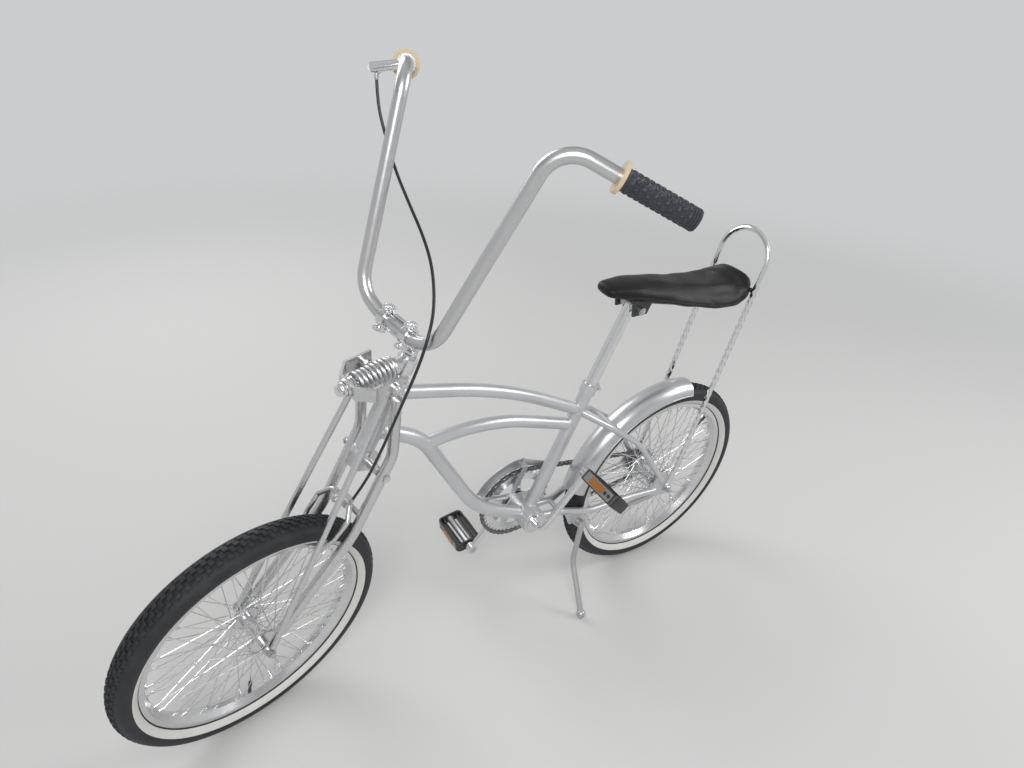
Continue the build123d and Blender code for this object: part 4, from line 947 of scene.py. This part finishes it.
def hexagon(shape, start, way, radius, height, kind=0):
    """A hexagon nut with chamfered corners."""
    shape.turn(start, way, [(height * up, radius * out) for up, out in CHAMFERS], 6, kind)


def dome(shape, start, way, radius, height):
    """A round domed head on a thin collar."""
    stations = [(0, radius), (height * COLLAR, radius)]
    for degrees in (15, 30, 45, 60, 75):
        out, up = polar(1, degrees)
        stations.append((height * (COLLAR + (1 - COLLAR) * up), radius * out))
    stations.append((height, radius * 0.1))
    shape.turn(start, way, stations, 20)


def thread(shape, start, way, radius, length):
    """A threaded end, drawn as rings because its helix is too fine to see."""
    stations = []
    for number in range(int(length / THREAD_PITCH)):
        stations.append((number * THREAD_PITCH, radius * THREAD_ROOT))
        stations.append(((number + 0.5) * THREAD_PITCH, radius))
    stations.append((length, radius * THREAD_TIP))
    shape.turn(start, way, stations, 14)


def washer(shape, start, way, radius, height):
    edge = min(height * 0.3, 0.6)
    stations = [(0, radius - edge), (edge, radius), (height - edge, radius), (height, radius - edge)]
    shape.turn(start, way, stations, 28)


def axle_set(name, centre, place, body, solid, end, nut, cone):
    """A threaded axle with a washer and a nut at each end, and its bearing cones."""
    shape = Shape()
    for side in (-1, 1):
        way = LEFT * side
        shape.turn(centre, way, [(0, AXLE_RADIUS), (nut[1], AXLE_RADIUS)], 14)
        thread(shape, centre + way * nut[1], way, THREAD_RADIUS, end - nut[1])
        washer(shape, centre + way * nut[0], way, NUT_RADIUS, WASHER_HEIGHT)
        foot = nut[0] + WASHER_HEIGHT
        hexagon(shape, centre + way * foot, way, NUT_RADIUS, nut[1] - foot)
        hexagon(shape, centre + way * cone[0], way, CONE_RADIUS, cone[1] - cone[0])
    piece(name, shape, [ZINC], place, body, solid, 25)


FRONT_AXLE = Vector((FORK_OFFSET, 0, 0))
REAR_AXLE = Vector((0, 0, 0))
axle_set("front_axle_nuts", FRONT_AXLE, FORK, "steering", "front_axle", 70, (57, 64), (45.6, 48.5))
axle_set("rear_axle_nuts", REAR_AXLE, REAR_WHEEL, "frame", "rear_axle", 78, (63, 71), (50.6, 54.5))

# Bolts as pairs of distance and radius, and nuts and heads as radius and height.
SPRING_BOLT = [(6, 5), (108, 5)]
SPRING_NUT = (9.5, 8)
# The washers and cups on the spring's bolt: start and end along it, and radius.
SPRING_CUPS = ((6, 10, 17), (86, 89.6, 16), (89.9, 93.5, 15.2), (98, 103, 16), (103.2, 108, 13))
YOKE_MIDDLE = SPRING_ORIGIN + SPRING_WAY * 36.0 - SPRING_SIDE * 3.0
YOKE_BOLT = [(30, 4), (50, 4)]
YOKE_NUT = (6.5, 4)
YOKE_NUT_PLACE = 32.0
YOKE_HEAD_PLACE = 49.5
PIVOT = Vector((-20.0, 0.0, 376.0))
PIVOT_BOLT = [(-57, 5), (57, 5)]
PIVOT_NUT = (8, 5)


def fork_bolts(name, shape, solid):
    piece(name, shape, [CHROME], FORK, "steering", solid, 25)


def fork_fasteners():
    """The spring's long bolt with its cups and nut, the yoke's bolts and the fork's pivot bolt."""
    shape = Shape()
    shape.turn(SPRING_ORIGIN, SPRING_WAY, SPRING_BOLT, 14)
    for low, high, radius in SPRING_CUPS:
        washer(shape, SPRING_ORIGIN + SPRING_WAY * low, SPRING_WAY, radius, high - low)
    hexagon(shape, SPRING_ORIGIN + SPRING_WAY * SPRING_BOLT[1][0], SPRING_WAY, *SPRING_NUT)
    fork_bolts("spring_bolt_set", shape, "spring_bolt")

    shape = Shape()
    for way in (-LEFT, LEFT):
        shape.turn(YOKE_MIDDLE, way, YOKE_BOLT, 12)
        dome(shape, YOKE_MIDDLE + way * YOKE_HEAD_PLACE, way, *YOKE_NUT)
        hexagon(shape, YOKE_MIDDLE + way * YOKE_NUT_PLACE, -way, *YOKE_NUT)
    fork_bolts("yoke_bolt_set", shape, "yoke_bolts")

    shape = Shape()
    shape.turn(PIVOT, LEFT, PIVOT_BOLT, 14)
    for way in (LEFT, -LEFT):
        hexagon(shape, PIVOT + way * PIVOT_BOLT[1][0], way, *PIVOT_NUT)
    fork_bolts("pivot_bolt_set", shape, "pivot_bolt")


fork_fasteners()

# %% [markdown]
# Castings.
#
# The stem, its two caps and the brake's arms are cast or forged, and no edge on them is sharp: metal
# flows round each corner in a small fillet, and the plating follows. The stem widens from its quill
# to the clamp like a funnel. Rounding every edge by hand would take long, so a copy of the solid,
# with the funnel's rings added to the stem, is rebuilt on a fine grid and relaxed a little, which
# gives every corner the same soft radius.

# %% Castings
STEM_FOOT = Vector((0.0, 0.0, 604.0))
BAR_CLAMP = Vector((58.0, 0.0, 637.0))
BAR_CLEARANCE = 13.0
FUNNEL_RADIUS = 11.5
FUNNEL_SPREAD = 19
FUNNEL_THINNING = 2.3


def stem_funnel():
    """Oval rings that widen from the quill to the handlebar's clamp."""
    way = BAR_CLAMP - STEM_FOOT
    reach = way.length - BAR_CLEARANCE
    way.normalize()
    up = Vector((-way.z, 0, way.x))
    rings = []
    for share in spread(0, 1, 9):
        wide = FUNNEL_RADIUS + FUNNEL_SPREAD * share**1.5
        tall = FUNNEL_RADIUS - FUNNEL_THINNING * share
        centre = STEM_FOOT + way * (reach * share)
        rings.append([centre + Vector((0, x * wide, 0)) + up * (y * tall) for x, y in disc(1, 28)])
    return rings


def casting(name, node, voxel, rounds, material, web=None):
    """A copy of a solid with soft corners, with the rings of a web added where it has one."""
    shape = Shape()
    solid = nodes[node].data
    home = FORK.inverted()
    points = [home @ vertex.co for vertex in solid.vertices]
    shape.add(points, [face.vertices for face in solid.polygons])
    if web:
        shape.rings(web)
    obj = piece(name, shape, [material], FORK, "steering", node)
    grid = ("REMESH", {"mode": "VOXEL", "voxel_size": voxel * MM})
    applied(obj, grid, ("SMOOTH", {"factor": 0.5, "iterations": rounds}))


casting("stem_casting", "stem", 1.0, 12, CHROME, stem_funnel())
casting("stem_cap_castings", "stem_caps", 0.8, 5, CHROME)
casting("brake_casting", "front_brake_caliper", 1.0, 4, FORK_PLATE)

# %% [markdown]
# The chain.
#
# A bicycle chain is made of ninety half-inch links, narrow and wide by turns, each a pair of plates
# with a waist, riveted over rollers. The links follow the same loop as the solid: a straight run
# above and below, and an arc round each sprocket.

# %% Chain links
PITCH = 12.7
CHAIN_LINKS = 90
CHAIN_SIDE = -41.0
RING_TEETH = 44
COG_TEETH = 18
COG_CENTRE = Vector((0, CHAIN_SIDE, 0))
RING_CENTRE = Vector((BRACKET.x, CHAIN_SIDE, BRACKET.z))
PLATE_END = 4.1
PLATE_WAIST = 2.8
# Inner and outer face of a narrow link's plates and of a wide one's, from the chain's middle.
PLATE_FACES = ((2.3, 3.2), (3.3, 4.2))
ROLLER = [(-2.2, 3.9), (2.2, 3.9)]
RIVET = [(-4.7, 1.5), (-4.5, 1.8), (4.5, 1.8), (4.7, 1.5)]


def pitch_radius(teeth):
    return PITCH / 2 / math.sin(math.pi / teeth)


def on_sprocket(centre, radius, degrees):
    """A point on a sprocket's pitch circle."""
    x, z = polar(radius, degrees)
    return centre + Vector((x, 0, z))


def chain_place(distance):
    """A place on the chain's loop, in the upright bicycle's frame about the rear axle.

    The loop runs forward above, round the chainring, back below and round the rear sprocket.
    """
    span = math.hypot(BRACKET.x, BRACKET.z)
    climb = math.degrees(math.atan2(BRACKET.z, BRACKET.x))
    ring, cog = pitch_radius(RING_TEETH), pitch_radius(COG_TEETH)
    lean = math.degrees(math.asin((ring - cog) / span))
    upper, lower = 90 + climb + lean, climb - 90 - lean
    straight = span * math.cos(math.radians(lean))
    ring_wrap, cog_wrap = ring * math.radians(upper - lower), cog * math.radians(360 + lower - upper)
    distance %= 2 * straight + ring_wrap + cog_wrap
    if distance <= straight:
        start, end = on_sprocket(COG_CENTRE, cog, upper), on_sprocket(RING_CENTRE, ring, upper)
        return start.lerp(end, distance / straight)
    distance -= straight
    if distance <= ring_wrap:
        return on_sprocket(RING_CENTRE, ring, upper - math.degrees(distance / ring))
    distance -= ring_wrap
    if distance <= straight:
        start, end = on_sprocket(RING_CENTRE, ring, lower), on_sprocket(COG_CENTRE, cog, lower)
        return start.lerp(end, distance / straight)
    return on_sprocket(COG_CENTRE, cog, lower - math.degrees((distance - straight) / cog))


def link_plate(shape, here, there, sides):
    """One plate with round ends and a waist, between two pins."""
    way = (there - here).normalized()
    up = Vector((-way.z, 0, way.x))
    outline = []
    for centre, start, waist in ((there, -105, PLATE_WAIST), (here, 75, -PLATE_WAIST)):
        for degrees in spread(start, start + 210, 7):
            along, above = polar(PLATE_END, degrees)
            outline.append(centre + way * along + up * above)
        outline.append((here + there) / 2 + up * waist)
    shape.rings([[point + LEFT * side for point in outline] for side in sides])


def chain_links():
    shape = Shape()
    for number in range(CHAIN_LINKS):
        here = chain_place(number * PITCH)
        there = chain_place((number + 1) * PITCH)
        near, far = PLATE_FACES[number % 2]
        link_plate(shape, here, there, (-far, -near))
        link_plate(shape, here, there, (near, far))
        shape.turn(here, LEFT, ROLLER, 10)
        shape.turn(here, LEFT, RIVET, 8)
    piece("chain_links", shape, [CHAIN_STEEL], REAR_WHEEL, "frame", "chain", 30)


chain_links()

# %% [markdown]
# The pedals.
#
# Each pedal is a black moulded cage round a plated barrel, with two rails for the foot. In its front
# and rear faces a pale panel carries an amber reflector and two round holes. The left one has swung
# with its front edge up.

# %% Pedals
CRANK_LENGTH = 165.0
CRANK_ANGLE = 121.0
PEDAL_INNER = 87.5
PEDAL_SIZE = (60.0, 100.0, 25.0)
PEDAL_MATERIALS = [PEDAL_BLACK, ZINC, AMBER, PEDAL_PANEL]
BLACK, METAL, REFLECTOR, PANEL = range(4)
CAGE_THICK = 5.0
CAGE_CORNER = 8.0
CAGE_BEVEL = 0.9
RAILS = (-17.0, 17.0)
RAIL_ENDS = (3.0, 97.0)
RAIL_SECTION = (2.0, 8.5, 0.6)
# The teeth on a rail: the first one's place, the last one's, and their count.
TEETH = (10, 90, 9)
TOOTH = [(8.2, 2.0), (9.8, 1.2)]
BARREL = [(0, 8.6), (3, 9.5), (12, 9.5), (16, 7.6), (84, 7.6), (88, 9.5), (97, 9.5), (99, 8)]
SPINDLE = [(-20, 5.2), (-19, 6), (-1, 6), (0, 5)]
SPINDLE_NUT = (8.4, 4.0)
# The blocks on each face: distance out from it and along it, size and bevel.
SLABS = {
    PANEL: (0.1, 0, (1.2, 80.0, 20.0), 0.5),
    REFLECTOR: (1.4, -4, (2.4, 38.0, 15.0), 0.8),
}
HOLES = (22, 33)
HOLE = [(0.2, 4.2), (0.9, 4.2)]


def rounded_loop(width, length, corner):
    """A closed path round a rectangle with round corners."""
    path = []
    for x, y, start in ((1, 1, 0), (-1, 1, 90), (-1, -1, 180), (1, -1, 270)):
        for degrees in spread(start, start + 90, 7):
            dx, dy = polar(corner, degrees)
            path.append((x * (width / 2 - corner) + dx, y * (length / 2 - corner) + dy, 0))
    return path


def slab(shape, centre, size, bevel, kind):
    """A flat block with bevelled edges, thin along X."""
    x, y, z = (part / 2 for part in size)
    rings = []
    for out, inset in ((-x, 0), (x - bevel, 0), (x, bevel)):
        wide, tall = y - inset, z - inset
        corners = ((wide, tall), (-wide, tall), (-wide, -tall), (wide, -tall))
        rings.append([Vector(centre) + Vector((out, along, up)) for along, up in corners])
    shape.rings(rings, kind=kind)


def pedal_face(front):
    """The panel with its reflector and holes, on the face that lies a distance in front."""
    face = Shape()
    for kind, (out, along, size, bevel) in SLABS.items():
        slab(face, (front + out, along, 0), size, bevel, kind)
    for along in HOLES:
        face.turn((front, along, 0), (1, 0, 0), HOLE, 20, BLACK)
    return face


def pedal(name, side, tilt, body):
    """A pedal drawn from its inner end outwards, then hung on its crank's end."""
    width, length, height = PEDAL_SIZE
    middle = Matrix.Translation((0, length / 2, 0))
    shape = Shape()
    loop = rounded_loop(width - CAGE_THICK, length - CAGE_THICK, CAGE_CORNER)
    section = bevelled(CAGE_THICK / 2, height / 2, CAGE_BEVEL)
    shape.sweep([middle @ Vector(point) for point in loop], section, closed=True)
    for rail in RAILS:
        shape.sweep([(rail, end, 0) for end in RAIL_ENDS], bevelled(*RAIL_SECTION))
        for along in spread(*TEETH):
            shape.turn((rail, along, 0), (0, 0, 1), TOOTH, 6)
    shape.turn((0, 0, 0), LEFT, BARREL, 20, METAL)
    shape.turn((0, 0, 0), LEFT, SPINDLE, 16, METAL)
    radius, thick = SPINDLE_NUT
    hexagon(shape, LEFT * -thick, LEFT, radius, thick, METAL)
    for degrees in (180, 0):
        turn = Matrix.Rotation(math.radians(degrees), 4, "Z")
        shape.join(pedal_face(width / 2), middle @ turn)
    if side < 0:
        shape.faces = [face[::-1] for face in shape.faces]
    x, z = polar(side * CRANK_LENGTH, CRANK_ANGLE)
    spot = Matrix.Translation((BRACKET.x + x, side * PEDAL_INNER, BRACKET.z + z))
    turn = Matrix.Rotation(math.radians(-tilt), 4, "Y")
    flip = Matrix.Diagonal((1, side, 1, 1))
    place = REAR_WHEEL @ spot @ turn @ flip
    piece(name, shape, PEDAL_MATERIALS, place, body, body, 30)


pedal("pedal_left_cage", 1, 45.0, "pedal_left")
pedal("pedal_right_cage", -1, -8.0, "pedal_right")

# %% [markdown]
# The grips.
#
# Each grip is a dark rubber sleeve with rows of raised buttons and a ribbed end. Each button is a low
# ring with a dished middle, which breaks the light into small circles as smooth rubber doesn't, so
# the buttons are real rings on the sleeve. The pale flange beside the hand keeps its own solid.

# %% Grips
GRIP_END = Vector((-26.0, 311.0, 989.0))
GRIP_WAY = Vector((-138.0, 155.0, -4.0)).normalized()
GRIP_LENGTH = 112.0
GRIP_RADIUS = 15.4
GRIP_COLLAR = [(0, 15.4), (0.6, 16.3), (4, 16.3), (5, 15.6)]
RIBS = (-8, -4, 0)
RIB = [(-1.6, 15.4), (-1.2, 16.4), (1.0, 16.4), (1.4, 15.4)]
GRIP_CAP = [(3.0, 15.2), (3.8, 12), (4.0, 1)]
BUTTON_ROWS = 11
BUTTONS_AROUND = 10
BUTTON_SPAN = GRIP_LENGTH - 24.5
BUTTON_START = 10.0 - GRIP_LENGTH
BUTTON_PROFILE = [(-1.2, 4.0), (0.4, 3.8), (0.9, 3.2), (0.9, 2.5), (0.35, 1.7)]


def grip(name, side, solid):
    end = Vector((GRIP_END.x, GRIP_END.y * side, GRIP_END.z))
    way = Vector((GRIP_WAY.x, GRIP_WAY.y * side, GRIP_WAY.z))
    stations = [(along - GRIP_LENGTH, radius) for along, radius in GRIP_COLLAR]
    for rib in RIBS:
        stations += [(rib + along, radius) for along, radius in RIB]
    shape = Shape()
    shape.turn(end, way, stations + GRIP_CAP, 44)
    turn = Vector((0, 0, 1)).rotation_difference(way)
    for row in range(BUTTON_ROWS):
        along = BUTTON_START + row * BUTTON_SPAN / (BUTTON_ROWS - 1)
        for number in range(BUTTONS_AROUND):
            angle = 2 * math.pi * (number + row % 2 / 2) / BUTTONS_AROUND
            radial = turn @ Vector((math.cos(angle), math.sin(angle), 0))
            shape.turn(end + way * along + radial * GRIP_RADIUS, radial, BUTTON_PROFILE, 14)
    piece(name, shape, [GRIP_GREY], FORK, "steering", solid, 40)


grip("grip_left_sleeve", 1, "grip_left")
grip("grip_right_sleeve", -1, "grip_right")

# %% [markdown]
# The brake cable.
#
# A brake cable is a steel wire in a lined black housing. It leaves the lever, swings down in front
# of the bar in one slack curve, passes the stem on the rider's left and comes in to the brake from
# above. Its stiffness keeps every bend wide, so it is a smooth curve that only leans on its points.

# %% Brake cable
CABLE_POINTS = [
    (95.0, -228.0, 958.0),
    (85.0, -212.0, 920.0),
    (70.0, -186.0, 884.0),
    (63.0, -139.0, 843.0),
    (63.0, -80.0, 810.0),
    (66.0, -22.0, 781.0),
    (69.0, 24.0, 750.0),
    (77.0, 68.0, 703.0),
    (90.0, 93.0, 658.0),
    (79.0, 91.0, 606.0),
    (62.0, 80.0, 550.0),
    (40.0, 66.0, 486.0),
    (22.0, 54.0, 425.0),
    (7.0, 42.0, 360.0),
    (0.0, 27.0, 305.0),
]
CABLE_RADIUS = 2.5
FERRULE = [(0, 2.6), (0.6, 3.3), (9, 3.3), (10, 2.8)]


def cable():
    curve = bpy.data.curves.new("cable_housing", "CURVE")
    curve.dimensions = "3D"
    curve.bevel_depth = CABLE_RADIUS * MM
    curve.bevel_resolution = 4
    curve.use_fill_caps = True
    spline = curve.splines.new("NURBS")
    spline.points.add(len(CABLE_POINTS) - 1)
    for point, place in zip(spline.points, CABLE_POINTS):
        point.co = (*(FORK @ Vector(place)), 1)
    spline.order_u = 3
    spline.use_endpoint_u = True
    spline.resolution_u = 12
    curve.materials.append(CABLE_BLACK)
    obj = bpy.data.objects.new("cable_housing", curve)
    bpy.context.scene.collection.objects.link(obj)
    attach(obj, "steering")
    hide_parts("brake_cable")


def cable_ends():
    """A plated ferrule on each end of the housing."""
    shape = Shape()
    for first, second in (CABLE_POINTS[:2], CABLE_POINTS[:-3:-1]):
        shape.turn(first, Vector(second) - Vector(first), FERRULE, 16)
    piece("cable_ferrules", shape, [ZINC], FORK, "steering", crease=30)


cable()
cable_ends()

# %% [markdown]
# Weld beads, the fender's rolled edge and the valves.
#
# The frame's tubes are welded, and paint over a bead leaves a soft raised ring where two tubes meet.
# The ring follows the saddle curve that one tube cuts in the other, which a little algebra finds.
# The fender's edge is rolled over a wire, so that it is stiff and doesn't cut. Each wheel has a valve.

# %% Beads, rolled edges and valves
FINE_TUBE = 12.7
MAIN_TUBE = 14.3
HEAD_TUBE = 18.0
SHELL = 28.5
BEAD_LIFT = 0.3
BEAD_RADIUS = 1.9
# The fender's edge about the axle: radius and half width, then its first and last angle.
FENDER_EDGE = (243.6, 32.2)
FENDER_ARC = (11.5, 99.5)
ROLL_RADIUS = 1.7
VALVE_SEAT = 196
VALVE = [(0, 4.0), (4, 3.6), (6, 2.9), (20, 2.9), (21, 3.9), (31, 3.6), (32, 2.6)]


def meeting(start, way, radius, host, host_way, host_radius):
    """The closed curve where a tube meets the outside of a host tube, lifted a little off both."""
    way, host_way = way.normalized(), host_way.normalized()
    turn = Vector((0, 0, 1)).rotation_difference(way)
    run = way - host_way * way.dot(host_way)
    path = []
    for x, y in disc(radius + BEAD_LIFT, 40):
        point = start + turn @ Vector((x, y, 0))
        gap = point - host
        gap -= host_way * gap.dot(host_way)
        a, b, c = run.dot(run), 2 * gap.dot(run), gap.dot(gap) - (host_radius + BEAD_LIFT) ** 2
        root = max(b * b - 4 * a * c, 0)
        path.append(point + way * ((-b + math.sqrt(root)) / (2 * a)))
    return path


def steered(height, back=0.0, drop=0.0):
    """A point on the head tube's line, in the upright bicycle's frame, moved back and down."""
    point = BIKE.inverted() @ (FORK @ Vector((0, 0, height)))
    return point - Vector((back, 0, drop))


def seat_tube(height):
    above = height - AXLE_HEIGHT - BRACKET.z
    return Vector((BRACKET.x - above / math.tan(math.radians(SEAT_TUBE_ANGLE)), 0, height))


def welds():
    shape = Shape()
    shell = Vector((BRACKET.x, 0, AXLE_HEIGHT + BRACKET.z))
    hosts = {
        "head": (steered(500), steered(600) - steered(500), HEAD_TUBE),
        "seat": (seat_tube(500), seat_tube(600) - seat_tube(400), MAIN_TUBE),
        "shell": (shell, LEFT, SHELL),
    }
    # Where each tube starts, a point that it runs towards, its radius, and what it meets.
    tubes = (
        (steered(516), steered(516, 225, 55), FINE_TUBE, "head"),
        (steered(442), steered(442, 93, 52), MAIN_TUBE, "head"),
        (seat_tube(532), steered(516, 225, 55), FINE_TUBE, "seat"),
        (seat_tube(498), steered(442, 228, 51), FINE_TUBE, "seat"),
        (shell, seat_tube(500), MAIN_TUBE, "shell"),
        (shell, shell + Vector((131, 0, 66)), MAIN_TUBE, "shell"),
    )
    for start, towards, radius, name in tubes:
        path = meeting(start, towards - start, radius, *hosts[name])
        shape.sweep(path, disc(BEAD_RADIUS, 8), closed=True)
    piece("weld_beads", shape, [FRAME_PAINT], BIKE, "frame", crease=60)


def fender_edges():
    radius, half = FENDER_EDGE
    arc = [polar(radius, degrees) for degrees in spread(*FENDER_ARC, 49)]
    shape = Shape()
    for side in (-half, half):
        shape.sweep([(x, side, z) for x, z in arc], disc(ROLL_RADIUS, 10))
    piece("fender_rolled_edges", shape, [FENDER_PAINT], REAR_WHEEL, "frame", crease=60)


def valve(name, place, body, degrees):
    x, z = polar(1, degrees)
    out = Vector((x, 0, z))
    shape = Shape()
    shape.turn(out * VALVE_SEAT, -out, VALVE, 14)
    piece(name, shape, [PEDAL_BLACK], place, body, crease=30)


welds()
fender_edges()
valve("front_valve", FRONT_WHEEL, "front_wheel", 250)
valve("rear_valve", REAR_WHEEL, "rear_wheel", 140)
